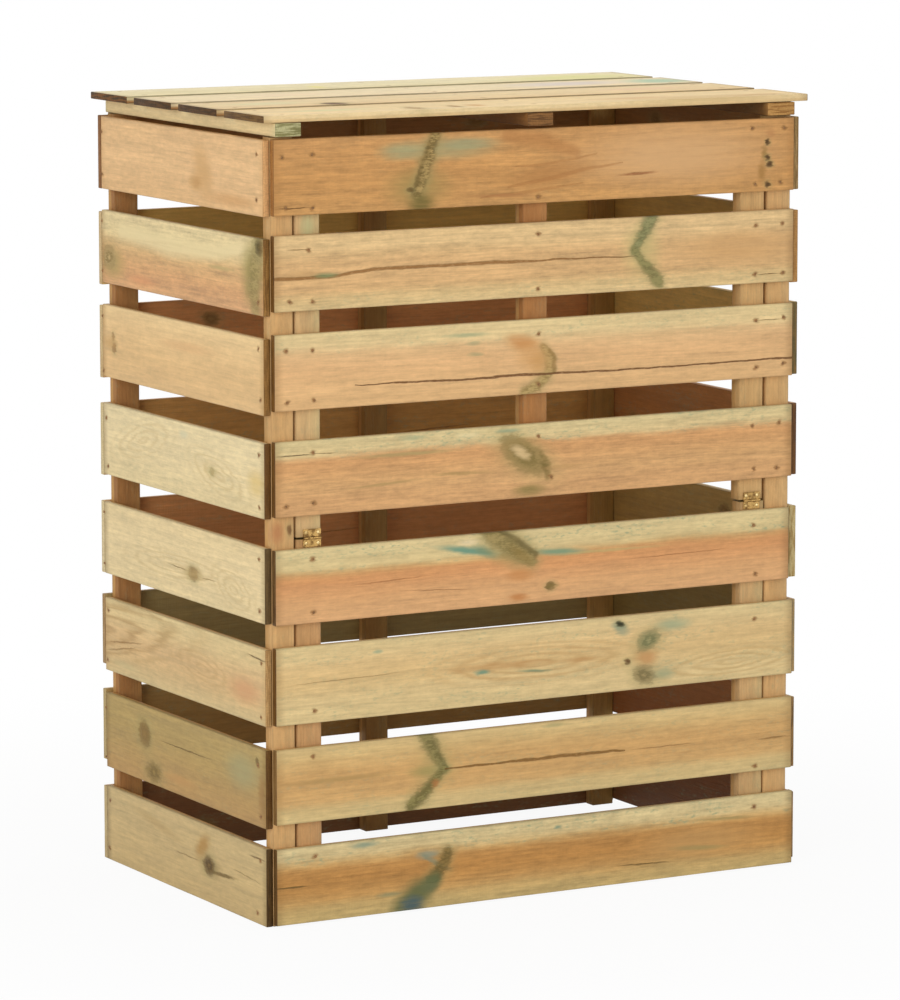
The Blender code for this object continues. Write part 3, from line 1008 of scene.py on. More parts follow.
def front_finishes() -> dict[str, PineFinish]:
    """The looks of the four fixed front slats, from the top one down.

    Returns:
        A finish for each node.
    """
    first = PineFinish(
        end=(158, 110, 58),
        end_ring=(140, 94, 48),
        bands=((0.0, (199, 150, 92)), (0.35, (193, 142, 84)), (0.7, (198, 147, 89)), (1.0, (195, 145, 90))),
        speckle=0.08,
        contrast=1.5,
        marks=(
            stain(0.20, 0.955, 0.44, 0.12, tint=(214, 170, 120), strength=0.8),
            stain(-0.140, 0.977, 0.210, 0.040, tint=(154, 156, 114), strength=0.65),
            stain(-0.105, 0.982, 0.110, 0.020, tint=(144, 158, 122), strength=0.55),
            stain(-0.205, 0.976, 0.090, 0.032, tint=(152, 160, 120), strength=0.6),
            stain(-0.180, 0.930, 0.130, 0.070, tint=(158, 134, 78), strength=0.8),
            trace(MarkKind.KNOT, (-0.156, 0.994, 0.018), (-0.168, 0.960, 0.019), (-0.182, 0.922, 0.017),
                  tint=(92, 74, 32), heart=(174, 146, 90), strength=0.95),
            trace(MarkKind.STAIN, (-0.164, 0.986, 0.008), (-0.174, 0.958, 0.011), (-0.187, 0.926, 0.010),
                  tint=(96, 76, 34), strength=0.5),
            stain(-0.176, 0.908, 0.056, 0.040, tint=(112, 98, 48), strength=0.95),
            knot(-0.1920, 0.927, 0.010, 0.007, tint=(92, 68, 28)),
            trace(MarkKind.STAIN, (-0.050, 0.990, 0.030), (0.000, 0.982, 0.036), (0.050, 0.966, 0.024),
                  tint=(166, 108, 56), strength=0.42),
            trace(MarkKind.SPLIT, (-0.050, 0.924, 0.003), (0.010, 0.932, 0.007), (0.060, 0.942, 0.006),
                  (0.120, 0.949, 0.002), tint=(158, 104, 54), strength=0.42),
            trace(MarkKind.SPLIT, (-0.090, 0.912, 0.002), (-0.010, 0.918, 0.006), (0.060, 0.926, 0.002),
                  tint=(160, 106, 56), strength=0.4),
            trace(MarkKind.SPLIT, (-0.040, 0.950, 0.002), (0.010, 0.951, 0.005), (0.080, 0.962, 0.002),
                  tint=(164, 110, 60), strength=0.38),
            stain(0.010, 0.938, 0.190, 0.040, 8, tint=(172, 118, 66), strength=0.5),
            stain(-0.060, 0.914, 0.140, 0.008, -2, tint=(172, 120, 72), strength=0.8),
            split(0.143, 0.9335, 0.066, 0.0046, 2, tint=(146, 92, 54)),
            knot(0.3405, 0.967, 0.007, 0.009, tint=HOLE, strength=0.95),
            stain(0.3350, 0.952, 0.014, 0.030, tint=(150, 116, 62), strength=0.8),
            knot(0.3400, 0.946, 0.008, 0.008, tint=HOLE, strength=0.95),
            knot(0.3430, 0.9375, 0.010, 0.008, tint=HOLE, strength=0.95),
            stain(0.3310, 0.928, 0.018, 0.040, tint=(160, 118, 62), strength=0.8),
            knot(0.3400, 0.911, 0.009, 0.009, tint=HOLE, strength=0.95),
            split(-0.358, 0.9108, 0.060, 0.0018, 0, tint=UMBER),
            stain(0.344, 0.977, 0.022, 0.020, tint=(176, 122, 76), strength=0.5),
        ),
        nails=((-0.373, 0.975), (-0.331, 0.977), (-0.368, 0.912), (-0.330, 0.910), (-0.006, 0.910),
               (0.316, 0.985),
               (0.365, 0.984), (0.321, 0.912), (0.360, 0.913)),
    )
    second = PineFinish(
        end=(108, 72, 26),
        end_ring=(90, 58, 20),
        bands=((0.0, (216, 188, 136)), (0.16, (215, 184, 130)), (0.26, (212, 170, 118)),
               (0.62, (213, 172, 120)),
               (0.74, (215, 180, 128)), (0.84, (221, 188, 136)), (1.0, (217, 184, 132))),
        speckle=0.35,
        contrast=1.4,
        speckle_zone=(-0.2, 0.22),
        marks=(
            stain(0.30, 0.832, 0.26, 0.060, tint=(203, 158, 104), strength=0.7),
            stain(-0.340, 0.826, 0.10, 0.020, tint=(190, 150, 98), strength=0.6),
            trace(MarkKind.SPLIT, (-0.390, 0.8232, 0.0056), (-0.309, 0.8225, 0.0056), (-0.247, 0.8290, 0.0052),
                  (-0.170, 0.8292, 0.0046), (-0.070, 0.8288, 0.0064), (0.000, 0.8284, 0.0030),
                  (0.140, 0.8270, 0.0012),
                  tint=(140, 98, 50), strength=0.9),
            stain(-0.312, 0.825, 0.050, 0.010, tint=(124, 138, 92), strength=0.8),
            stain(0.148, 0.834, 0.080, 0.096, tint=(190, 178, 118), strength=0.6),
            trace(MarkKind.KNOT, (0.166, 0.878, 0.021), (0.151, 0.856, 0.019), (0.137, 0.834, 0.011),
                  tint=(94, 96, 58), heart=(140, 138, 92), strength=0.9),
            trace(MarkKind.KNOT, (0.137, 0.834, 0.010), (0.150, 0.818, 0.012), (0.163, 0.804, 0.020),
                  (0.175, 0.791, 0.016), tint=(98, 94, 52), heart=(142, 134, 84), strength=0.9),
            split(-0.350, 0.8590, 0.036, 0.0012, 0, tint=(150, 116, 66), strength=0.8),
            split(0.3440, 0.7935, 0.044, 0.0012, 0, tint=(130, 98, 54), strength=0.9),
        ),
        nails=((-0.336, 0.858), (-0.363, 0.794), (-0.331, 0.793), (-0.006, 0.862), (-0.006, 0.792),
               (0.322, 0.858),
               (0.364, 0.859), (0.322, 0.794), (0.365, 0.794)),
    )
    third = PineFinish(
        end=(110, 74, 28),
        end_ring=(92, 60, 22),
        bands=((0.0, (216, 174, 122)), (0.24, (219, 177, 125)), (0.5, (220, 175, 124)), (0.70, (220, 180, 130)),
               (0.80, (222, 196, 144)), (1.0, (220, 196, 144))),
        speckle=0.4,
        speckle_zone=(0.70, 1.2),
        marks=(
            stain(-0.110, 0.7385, 0.09, 0.008, tint=(150, 160, 122), strength=0.7),
            stain(-0.100, 0.7270, 0.03, 0.008, tint=(150, 152, 112), strength=0.6),
            stain(-0.098, 0.7130, 0.03, 0.008, tint=(150, 150, 106), strength=0.6),
            stain(-0.030, 0.7250, 0.072, 0.030, -12, tint=(196, 136, 78), strength=0.85),
            stain(-0.004, 0.7000, 0.040, 0.040, tint=(190, 148, 88), strength=0.6),
            trace(MarkKind.KNOT, (0.004, 0.716, 0.012), (0.0125, 0.700, 0.015), (0.010, 0.682, 0.015),
                  (-0.006, 0.668, 0.017), (-0.026, 0.661, 0.014), tint=(120, 100, 50), heart=(180, 154, 98),
                  strength=0.85),
            trace(MarkKind.STAIN, (0.012, 0.712, 0.010), (0.020, 0.698, 0.012), (0.018, 0.684, 0.010),
                  tint=(128, 104, 54), strength=0.7),
            stain(-0.012, 0.706, 0.090, 0.060, -30, tint=(202, 150, 90), strength=0.6),
            trace(MarkKind.SPLIT, (-0.270, 0.6842, 0.0014), (-0.205, 0.6838, 0.0026), (-0.110, 0.6818, 0.0036),
                  (-0.030, 0.6826, 0.0042), (0.055, 0.6812, 0.0034), (0.165, 0.6800, 0.0026),
                  (0.260, 0.6806, 0.0024),
                  (0.390, 0.6812, 0.0030), tint=(110, 72, 38), strength=0.95),
            split(0.344, 0.7330, 0.046, 0.0012, 0, tint=(140, 104, 58), strength=0.8),
        ),
        nails=((-0.368, 0.733), (-0.331, 0.732), (-0.367, 0.668), (-0.329, 0.669), (-0.005, 0.734),
               (-0.005, 0.669),
               (0.324, 0.733), (0.366, 0.735), (0.324, 0.671), (0.366, 0.674)),
    )
    fourth = PineFinish(
        end=(106, 72, 28),
        end_ring=(90, 58, 22),
        bands=((0.0, (209, 162, 111)), (0.2, (208, 160, 109)), (0.38, (209, 165, 112)), (0.68, (206, 152, 99)),
               (0.76, (208, 160, 108)), (0.81, (212, 188, 137)), (1.0, (209, 190, 140))),
        speckle=0.7,
        contrast=1.35,
        speckle_zone=(0.74, 1.2),
        marks=(
            stain(-0.050, 0.6120, 0.050, 0.008, tint=(140, 164, 136), strength=0.8),
            # A pale spot painted as a highlight
            stain(-0.110, 0.6100, 0.050, 0.010, tint=(228, 210, 160), strength=0.7),
            stain(-0.190, 0.6120, 0.060, 0.010, tint=(160, 170, 132), strength=0.6),
            stain(-0.200, 0.5920, 0.190, 0.008, tint=(150, 146, 94), strength=0.65),
            stain(-0.230, 0.5560, 0.150, 0.006, 3, tint=(160, 136, 84), strength=0.6),
            stain(-0.120, 0.5620, 0.120, 0.007, -2, tint=(158, 132, 80), strength=0.6),
            stain(-0.0260, 0.5800, 0.120, 0.060, -30, tint=(168, 144, 90), strength=0.8),
            knot(-0.0260, 0.5790, 0.078, 0.036, -34, tint=(116, 98, 48), heart=(164, 138, 86), strength=0.85),
            stain(-0.0310, 0.5830, 0.044, 0.021, -30, tint=(216, 186, 136), strength=1.0),
            trace(MarkKind.STAIN, (-0.002, 0.580, 0.010), (0.008, 0.564, 0.016), (0.008, 0.548, 0.014),
                  tint=(120, 100, 50), strength=0.6),
            stain(0.004, 0.5620, 0.030, 0.012, -50, tint=(112, 94, 46), strength=0.8),
            stain(-0.018, 0.5330, 0.070, 0.022, tint=(132, 118, 64), strength=0.95),
            stain(0.030, 0.5600, 0.080, 0.010, tint=(190, 150, 96), strength=0.6),
            split(-0.356, 0.6008, 0.062, 0.0014, -1, tint=(84, 58, 26), strength=0.95),
            split(-0.316, 0.6012, 0.044, 0.0010, -3, tint=(126, 94, 50), strength=0.8),
        ),
        nails=((-0.331, 0.603), (-0.370, 0.537), (-0.331, 0.539), (-0.005, 0.602), (0.014, 0.548),
               (0.319, 0.594),
               (0.361, 0.596), (0.322, 0.537), (0.357, 0.536)),
    )
    return {"front_slat_1": first, "front_slat_2": second, "front_slat_3": third, "front_slat_4": fourth}


def flap_finishes() -> dict[str, PineFinish]:
    """The looks of the four flap slats, from the top one down.

    Returns:
        A finish for each node.
    """
    first = PineFinish(
        end=(102, 74, 38),
        end_ring=(84, 58, 28),
        bands=((0.0, (214, 166, 117)), (0.25, (213, 164, 113)), (0.45, (210, 153, 102)), (0.60, (208, 147, 94)),
               (0.67, (203, 164, 108)), (0.74, (211, 190, 138)), (1.0, (214, 193, 142))),
        speckle=0.9,
        speckle_zone=(0.68, 1.2),
        marks=(
            stain(-0.112, 0.4620, 0.120, 0.015, -10, tint=(112, 148, 124), strength=1.0),
            stain(-0.082, 0.4580, 0.060, 0.020, -22, tint=(108, 138, 110), strength=0.95),
            stain(0.024, 0.4500, 0.130, 0.014, -3, tint=(126, 150, 118), strength=0.95),
            stain(-0.108, 0.4720, 0.045, 0.012, tint=(236, 214, 172), strength=0.6),
            stain(-0.0480, 0.4620, 0.130, 0.070, -32, tint=(172, 148, 92), strength=0.7),
            trace(MarkKind.KNOT, (-0.084, 0.488, 0.022), (-0.052, 0.466, 0.032), (-0.016, 0.444, 0.022),
                  tint=(106, 94, 48), heart=(158, 138, 86), strength=0.9),
            trace(MarkKind.STAIN, (-0.072, 0.489, 0.010), (-0.040, 0.471, 0.014), (-0.008, 0.449, 0.011),
                  tint=(88, 74, 34), strength=0.62),
            stain(-0.0300, 0.4500, 0.070, 0.020, -36, tint=(140, 116, 62), strength=0.7),
            stain(-0.032, 0.4240, 0.060, 0.024, tint=(196, 136, 80), strength=0.8),
            stain(-0.034, 0.3950, 0.040, 0.016, tint=(186, 122, 66), strength=0.8),
            knot(0.0130, 0.4060, 0.013, 0.011, tint=(86, 66, 28), heart=(112, 92, 46), strength=0.95),
            stain(0.015, 0.4060, 0.026, 0.016, tint=(150, 124, 70), strength=0.6),
            stain(0.10, 0.4460, 0.24, 0.006, tint=(186, 168, 110), strength=0.6),
            split(-0.220, 0.4320, 0.130, 0.0014, 2, tint=(176, 116, 70), strength=0.7),
            split(-0.150, 0.4140, 0.110, 0.0012, -4, tint=(178, 124, 78), strength=0.7),
            split(0.210, 0.4330, 0.180, 0.0012, 1, tint=(178, 120, 74), strength=0.7),
        ),
        nails=((-0.332, 0.468), (-0.331, 0.400), (0.322, 0.462), (0.325, 0.397)),
    )
    second = PineFinish(
        end=(106, 72, 26),
        end_ring=(90, 58, 20),
        bands=((0.0, (214, 190, 138)), (0.3, (216, 190, 138)), (0.5, (211, 179, 124)), (0.72, (218, 186, 132)),
               (0.85, (214, 188, 136)), (1.0, (213, 190, 138))),
        speckle=0.5,
        lines=120.0,
        marks=(
            stain(-0.060, 0.3080, 0.240, 0.016, tint=(190, 146, 92), strength=0.65),
            swirl(-0.010, 0.3070, 0.340, 0.058, tint=(180, 138, 84), strength=0.5),
            swirl(0.290, 0.2830, 0.260, 0.046, 3, tint=(184, 148, 94), strength=0.45),
            stain(0.060, 0.3060, 0.090, 0.010, 0, tint=(184, 138, 84), strength=0.6),
            stain(-0.088, 0.3020, 0.034, 0.010, tint=(104, 142, 118), strength=0.9),
            stain(-0.010, 0.2970, 0.070, 0.006, -4, tint=(112, 136, 104), strength=0.8),
            stain(0.118, 0.3420, 0.040, 0.024, -30, tint=(122, 142, 120), strength=0.8),
            knot(0.1190, 0.3470, 0.013, 0.007, -20, tint=(52, 52, 30), heart=(70, 66, 38), strength=1.0),
            stain(0.198, 0.3400, 0.080, 0.026, tint=(140, 160, 128), strength=0.65),
            stain(0.158, 0.3000, 0.050, 0.040, tint=(198, 142, 88), strength=0.8),
            knot(0.1610, 0.3220, 0.036, 0.024, 24, tint=(104, 106, 68), heart=(156, 148, 102), strength=0.95),
            knot(0.1290, 0.2970, 0.011, 0.008, tint=(96, 66, 34), heart=(126, 92, 50), strength=0.95),
            knot(0.1550, 0.2770, 0.034, 0.023, -18, tint=(112, 100, 62), heart=(164, 144, 98), strength=0.95),
            stain(0.185, 0.2760, 0.050, 0.022, tint=(148, 156, 120), strength=0.65),
            stain(-0.240, 0.3420, 0.020, 0.008, tint=(140, 160, 130), strength=0.7),
            split(-0.280, 0.3110, 0.200, 0.0012, 1, tint=(178, 142, 90), strength=0.7),
        ),
        nails=((-0.331, 0.274), (0.324, 0.337)),
    )
    third = PineFinish(
        end=(132, 100, 56),
        end_ring=(116, 84, 44),
        bands=((0.0, (206, 182, 129)), (0.18, (208, 182, 127)), (0.28, (203, 161, 104)), (0.6, (201, 157, 99)),
               (0.78, (205, 169, 112)), (0.88, (209, 179, 122)), (1.0, (208, 181, 127))),
        speckle=0.3,
        marks=(
            stain(-0.300, 0.1830, 0.240, 0.010, tint=(170, 138, 84), strength=0.7),
            stain(-0.166, 0.1810, 0.080, 0.022, tint=(140, 132, 76), strength=0.75),
            stain(-0.155, 0.1850, 0.090, 0.080, tint=(176, 156, 98), strength=0.5),
            trace(MarkKind.KNOT, (-0.173, 0.234, 0.021), (-0.158, 0.206, 0.021), (-0.144, 0.183, 0.013),
                  tint=(88, 82, 40), heart=(138, 126, 76), strength=0.92),
            trace(MarkKind.KNOT, (-0.144, 0.182, 0.012), (-0.160, 0.165, 0.016), (-0.180, 0.148, 0.022),
                  (-0.192, 0.137, 0.018), tint=(88, 80, 38), heart=(136, 126, 74), strength=0.92),
            stain(-0.1570, 0.1640, 0.020, 0.016, tint=(184, 120, 66), strength=0.7),
            trace(MarkKind.SPLIT, (-0.143, 0.1812, 0.0024), (-0.060, 0.1810, 0.0034), (0.020, 0.1812, 0.0064),
                  (0.080, 0.1806, 0.0056), (0.125, 0.1792, 0.0024), tint=(122, 86, 38), strength=0.9),
            split(0.185, 0.1790, 0.110, 0.0012, 0, tint=(164, 118, 68), strength=0.7),
            split(0.355, 0.1745, 0.060, 0.0026, 0, tint=(146, 108, 60), strength=0.8),
            stain(0.020, 0.2230, 0.050, 0.010, tint=(160, 154, 106), strength=0.6),
        ),
        nails=((-0.333, 0.216), (0.327, 0.139)),
    )
    fourth = PineFinish(
        end=(102, 72, 32),
        end_ring=(84, 58, 24),
        bands=((0.0, (196, 172, 116)), (0.16, (196, 167, 110)), (0.28, (190, 146, 87)), (0.45, (183, 133, 72)),
               (0.66, (184, 133, 72)), (0.76, (200, 164, 106)), (0.84, (211, 190, 140)),
               (1.0, (208, 189, 140))),
        speckle=0.8,
        contrast=1.45,
        speckle_zone=(0.74, 1.2),
        marks=(
            stain(-0.260, 0.0940, 0.060, 0.012, tint=(122, 144, 124), strength=0.8),
            stain(-0.168, 0.0720, 0.050, 0.018, tint=(142, 144, 120), strength=0.95),
            stain(-0.160, 0.0630, 0.070, 0.010, -30, tint=(120, 132, 110), strength=0.7),
            trace(MarkKind.KNOT, (-0.138, 0.072, 0.016), (-0.146, 0.055, 0.022), (-0.160, 0.040, 0.018),
                  tint=(84, 72, 32), heart=(132, 108, 58), strength=0.9),
            trace(MarkKind.STAIN, (-0.158, 0.038, 0.034), (-0.180, 0.024, 0.056), (-0.204, 0.006, 0.056),
                  tint=(96, 102, 64), strength=0.95),
            stain(-0.190, 0.0090, 0.050, 0.034, tint=(74, 94, 98), strength=1.0),
            stain(-0.165, 0.0280, 0.040, 0.024, tint=(104, 108, 72), strength=0.8),
            stain(-0.225, 0.0260, 0.050, 0.010, tint=(130, 134, 98), strength=0.7),
            split(-0.365, 0.0500, 0.060, 0.0026, 0, tint=(110, 88, 46), strength=0.9),
            split(0.155, 0.0250, 0.100, 0.0026, -2, tint=(112, 92, 50), strength=0.85),
            stain(0.240, 0.0460, 0.260, 0.060, tint=(194, 154, 98), strength=0.6),
            stain(0.240, 0.0380, 0.120, 0.010, -4, tint=(154, 140, 88), strength=0.7),
            stain(0.025, 0.0880, 0.016, 0.008, tint=(110, 140, 118), strength=0.8),
            stain(0.280, 0.0730, 0.120, 0.006, -2, tint=(150, 134, 84), strength=0.7),
        ),
        nails=((-0.330, 0.087), (0.326, 0.084)),
    )
    return {"door_slat_1": first, "door_slat_2": second, "door_slat_3": third, "door_slat_4": fourth}


def left_finishes() -> dict[str, PineFinish]:
    """The looks of the eight left slats, from the top one down.

    Returns:
        A finish for each node.
    """
    dark_end, dark_ring = (80, 56, 20), (62, 42, 12)
    first = PineFinish(
        bands=((0.0, (219, 178, 127)), (0.5, (224, 185, 136)), (1.0, (221, 181, 131))),
        speckle=0.0,
        contrast=1.05,
        end=(208, 160, 106),
        end_ring=(196, 148, 96),
        marks=(
            stain(-0.070, 0.945, 0.110, 0.070, 60, tint=(200, 156, 102), strength=0.7),
            stain(-0.050, 0.930, 0.050, 0.030, tint=(188, 142, 84), strength=0.7),
            stain(-0.150, 0.915, 0.200, 0.024, tint=(202, 152, 98), strength=0.6),
        ),
        nails=((-0.220, 0.978), (-0.220, 0.921), (0.228, 0.976), (0.228, 0.920)),
    )
    second = PineFinish(
        bands=((0.0, (210, 164, 118)), (0.25, (209, 158, 110)), (0.5, (210, 172, 120)), (0.62, (216, 186, 134)),
               (0.75, (224, 204, 154)), (1.0, (222, 200, 152))),
        speckle=0.15,
        contrast=1.45,
        end=(148, 108, 54),
        end_ring=(116, 80, 36),
        marks=(
            stain(0.110, 0.7900, 0.120, 0.020, tint=(216, 150, 104), strength=0.6),
            trace(MarkKind.STAIN, (0.170, 0.850, 0.034), (0.020, 0.842, 0.044), (-0.110, 0.846, 0.034),
                  (-0.190, 0.860, 0.020), tint=(230, 210, 160), strength=0.85),
            stain(0.195, 0.8050, 0.100, 0.060, tint=(180, 154, 96), strength=0.8),
            knot(0.2080, 0.8120, 0.034, 0.028, tint=(116, 94, 46), heart=(206, 178, 124), strength=0.85),
            stain(-0.120, 0.8270, 0.110, 0.008, tint=(170, 156, 104), strength=0.6),
            stain(-0.205, 0.8300, 0.080, 0.110, tint=(160, 142, 84), strength=0.85),
            trace(MarkKind.KNOT, (-0.228, 0.870, 0.030), (-0.216, 0.840, 0.040), (-0.210, 0.806, 0.038),
                  (-0.216, 0.784, 0.026), tint=(112, 98, 50), heart=(166, 146, 92), strength=0.7),
            knot(-0.2260, 0.8620, 0.022, 0.020, tint=(72, 60, 26), heart=(96, 80, 38), strength=0.9),
        ),
        nails=((0.230, 0.858), (0.230, 0.792), (-0.222, 0.793)),
    )
    third = PineFinish(
        bands=((0.0, (218, 182, 131)), (0.4, (219, 182, 129)), (0.75, (225, 190, 138)), (1.0, (228, 198, 146))),
        speckle=0.05,
        contrast=0.8,
        end=(144, 104, 52),
        end_ring=(122, 86, 40),
        marks=(
            knot(0.1960, 0.6930, 0.012, 0.014, tint=(138, 104, 58), heart=(170, 130, 80), strength=0.8),
            knot(0.1980, 0.7080, 0.010, 0.012, tint=(150, 116, 68), heart=(176, 138, 88), strength=0.7),
            stain(0.205, 0.6990, 0.060, 0.030, tint=(190, 150, 96), strength=0.6),
            stain(-0.020, 0.7160, 0.220, 0.020, tint=(218, 172, 122), strength=0.5),
        ),
        nails=((-0.223, 0.735), (-0.228, 0.671), (0.231, 0.732), (0.229, 0.659)),
    )
    fourth = PineFinish(
        bands=((0.0, (224, 203, 154)), (0.5, (229, 208, 162)), (1.0, (226, 207, 162))),
        speckle=0.15,
        lines=110.0,
        end=(106, 70, 28),
        end_ring=(92, 60, 22),
        marks=(
            knot(-0.0910, 0.5640, 0.014, 0.011, tint=(134, 114, 66), heart=(176, 152, 100), strength=0.85),
            stain(-0.0910, 0.5640, 0.060, 0.022, tint=(200, 180, 128), strength=0.6),
            stain(-0.010, 0.6020, 0.040, 0.016, tint=(206, 200, 168), strength=0.6),
            stain(-0.215, 0.5640, 0.070, 0.050, tint=(216, 186, 116), strength=0.7),
            swirl(-0.110, 0.5600, 0.200, 0.060, 12, tint=(196, 170, 118), strength=0.45),
            swirl(0.110, 0.5800, 0.220, 0.060, -14, tint=(198, 172, 122), strength=0.4),
        ),
        nails=((-0.222, 0.601), (-0.223, 0.535), (0.221, 0.597), (0.217, 0.533)),
    )
    fifth = PineFinish(
        bands=((0.0, (223, 201, 153)), (0.5, (225, 203, 157)), (1.0, (224, 201, 153))),
        speckle=0.10,
        lines=115.0,
        end=(100, 78, 44),
        end_ring=(86, 66, 36),
        marks=(
            knot(-0.0350, 0.4245, 0.027, 0.019, tint=(74, 52, 22), heart=(112, 82, 40), strength=1.0),
            stain(-0.0350, 0.4240, 0.090, 0.026, tint=(188, 160, 104), strength=0.7),
            split(0.010, 0.4270, 0.070, 0.0016, 2, tint=(150, 120, 70), strength=0.8),
            split(-0.080, 0.4230, 0.050, 0.0014, -2, tint=(156, 126, 76), strength=0.8),
            swirl(0.020, 0.4270, 0.340, 0.044, -2, tint=(188, 160, 108), strength=0.36),
            swirl(-0.150, 0.4200, 0.140, 0.060, 14, tint=(194, 166, 114), strength=0.4),
        ),
        nails=((-0.221, 0.469), (-0.222, 0.403), (0.232, 0.470), (0.232, 0.401)),
    )
    sixth = PineFinish(
        bands=((0.0, (208, 186, 137)), (0.25, (209, 177, 126)), (0.55, (211, 176, 127)),
               (0.74, (215, 188, 137)),
               (1.0, (216, 194, 143))),
        speckle=0.12,
        end=(184, 146, 94),
        end_ring=(158, 120, 72),
        marks=(
            stain(-0.180, 0.2950, 0.130, 0.050, tint=(206, 152, 108), strength=0.7),
            split(0.170, 0.3030, 0.130, 0.0022, -7, tint=(156, 120, 72), strength=0.8),
            split(0.180, 0.2930, 0.120, 0.0022, -10, tint=(160, 126, 76), strength=0.8),
            swirl(0.270, 0.3080, 0.720, 0.100, -7, tint=(162, 126, 76), strength=0.55),
            swirl(-0.060, 0.3060, 0.200, 0.050, 6, tint=(180, 144, 94), strength=0.4),
            split(-0.214, 0.3420, 0.068, 0.0026, 3, tint=(112, 84, 46), strength=0.9),
            stain(0.170, 0.2720, 0.120, 0.014, tint=(196, 180, 132), strength=0.6),
        ),
        nails=((0.220, 0.339), (0.224, 0.272), (-0.224, 0.268), (-0.226, 0.337)),
    )
    seventh = PineFinish(
        bands=((0.0, (180, 142, 90)), (0.35, (178, 147, 92)), (0.7, (172, 147, 92)), (1.0, (176, 150, 96))),
        speckle=0.15,
        end=(98, 66, 24),
        end_ring=(84, 54, 16),
        marks=(
            knot(0.1130, 0.1900, 0.034, 0.030, 40, tint=(92, 72, 28), heart=(136, 110, 54), strength=0.95),
            stain(0.115, 0.1900, 0.050, 0.050, 50, tint=(142, 112, 62), strength=0.7),
            knot(0.0860, 0.1430, 0.044, 0.026, tint=(104, 82, 36), heart=(150, 124, 68), strength=0.85),
            split(-0.010, 0.1890, 0.180, 0.0022, 0, tint=(122, 98, 54), strength=0.85),
            stain(-0.170, 0.1900, 0.130, 0.070, tint=(160, 154, 112), strength=0.7),
            stain(0.010, 0.1460, 0.140, 0.020, tint=(190, 144, 90), strength=0.6),
            stain(-0.226, 0.1680, 0.030, 0.090, tint=(150, 112, 64), strength=0.7),
            knot(-0.2130, 0.2100, 0.010, 0.010, tint=(110, 84, 42), strength=0.8),
        ),
        nails=((-0.215, 0.205), (-0.223, 0.140), (0.232, 0.139), (0.232, 0.206)),
    )
    eighth = PineFinish(
        bands=((0.0, (194, 168, 118)), (0.5, (198, 172, 122)), (1.0, (196, 172, 124))),
        speckle=0.10,
        end=dark_end,
        end_ring=dark_ring,
        marks=(
            stain(-0.0560, 0.0700, 0.070, 0.040, -40, tint=(172, 132, 72), strength=0.9),
            stain(-0.0800, 0.0480, 0.080, 0.036, tint=(146, 120, 72), strength=0.7),
            knot(-0.0740, 0.0490, 0.032, 0.025, tint=(72, 52, 20), heart=(120, 92, 44), strength=0.95),
            split(-0.115, 0.0440, 0.090, 0.0070, -3, tint=(106, 84, 40), strength=0.85),
            split(-0.010, 0.0500, 0.090, 0.0018, 0, tint=(150, 122, 76), strength=0.7),
            split(-0.180, 0.0560, 0.100, 0.0014, 4, tint=(158, 132, 84), strength=0.7),
            split(-0.210, 0.0850, 0.050, 0.0030, 0, tint=(100, 72, 36), strength=0.8),
            stain(0.080, 0.0760, 0.200, 0.020, 8, tint=(176, 148, 100), strength=0.6),
        ),
        nails=((0.220, 0.081), (-0.221, 0.083), (-0.212, 0.014), (0.224, 0.016)),
    )
    names = [f"left_slat_{number}" for number in range(1, 9)]
    return dict(zip(names, (first, second, third, fourth, fifth, sixth, seventh, eighth)))


def batten_nails(places: tuple[float, ...], low: float, high: float, inset: float = 0.018) -> tuple[Point, ...]:
    """Two nails over every batten that a slat crosses.

    Args:
        places: Where the battens stand along the slat.
        low: Lower edge of the slat.
        high: Upper edge of the slat.
        inset: Distance of the nails from those edges.

    Returns:
        The nails, along and across the slat.
    """
    spots = []
    for number, place in enumerate(places):
        shift = 0.0012 * math.sin(number * 7.0 + low * 90.0)
        spots += [(place + shift, low + inset + shift), (place - shift, high - inset + 2 * shift)]
    return tuple(spots)


@dataclass(frozen=True)
class HiddenWall:
    """Eight slats, from the top one down, of a wall whose outside the photograph doesn't show."""

    prefix: str
    battens: tuple[float, ...]
    # Inner-face tones, darkened as painted shade inside the bin and darkest at the foot
    insides_with_shade: tuple[Tint, ...]
    ends: tuple[tuple[Tint, Tint], ...]
    tops: tuple[Tint, ...] = (CREAM, HONEY, SAP, PEACH, SAP, HONEY, CREAM, ROSE)
    feet: tuple[Tint, ...] = (PEACH, ROSE, HONEY, HONEY, PEACH, (196, 150, 100), HONEY, (192, 150, 100))

    def finishes(self) -> dict[str, PineFinish]:
        """Makes up the looks of the wall's slats.

        Returns:
            A finish for each node.
        """
        reach = self.battens[-1] - self.battens[0]
        looks = {}
        for number in range(8):
            node = f"{self.prefix}_{number + 1}"
            foot, top = (corner[Axis.Z.value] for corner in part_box(node))
            spread = math.sin(number * 2.3 + 0.7)
            spot = self.battens[0] + reach * (0.5 + 0.38 * spread)
            level = foot + (top - foot) * (0.5 + 0.22 * math.cos(number * 3.1))
            lower, upper = self.feet[number], self.tops[number]
            looks[node] = PineFinish(
                bands=((0.0, lower), (0.4, lower), (0.7, upper), (1.0, upper)),
                inner=self.insides_with_shade[number],
                end=self.ends[number][0],
                end_ring=self.ends[number][1],
                speckle=0.15 + 0.3 * abs(spread),
                lines=120.0 + 8.0 * number,
                marks=(
                    stain(spot, level, 0.10, 0.035, tint=(188, 160, 104), strength=0.6),
                    knot(spot, level, 0.026, 0.018, 20 * spread, tint=(112, 84, 42)),
                    split(spot - 0.16 * spread, foot + 0.03, 0.14, 0.0018, 2, tint=(150, 108, 60)),
                    stain(spot + 0.14 * spread, top - 0.014, 0.10, 0.014, tint=(150, 152, 108), strength=0.6),
                ),
                nails=batten_nails(self.battens, foot, top),
            )
        return looks


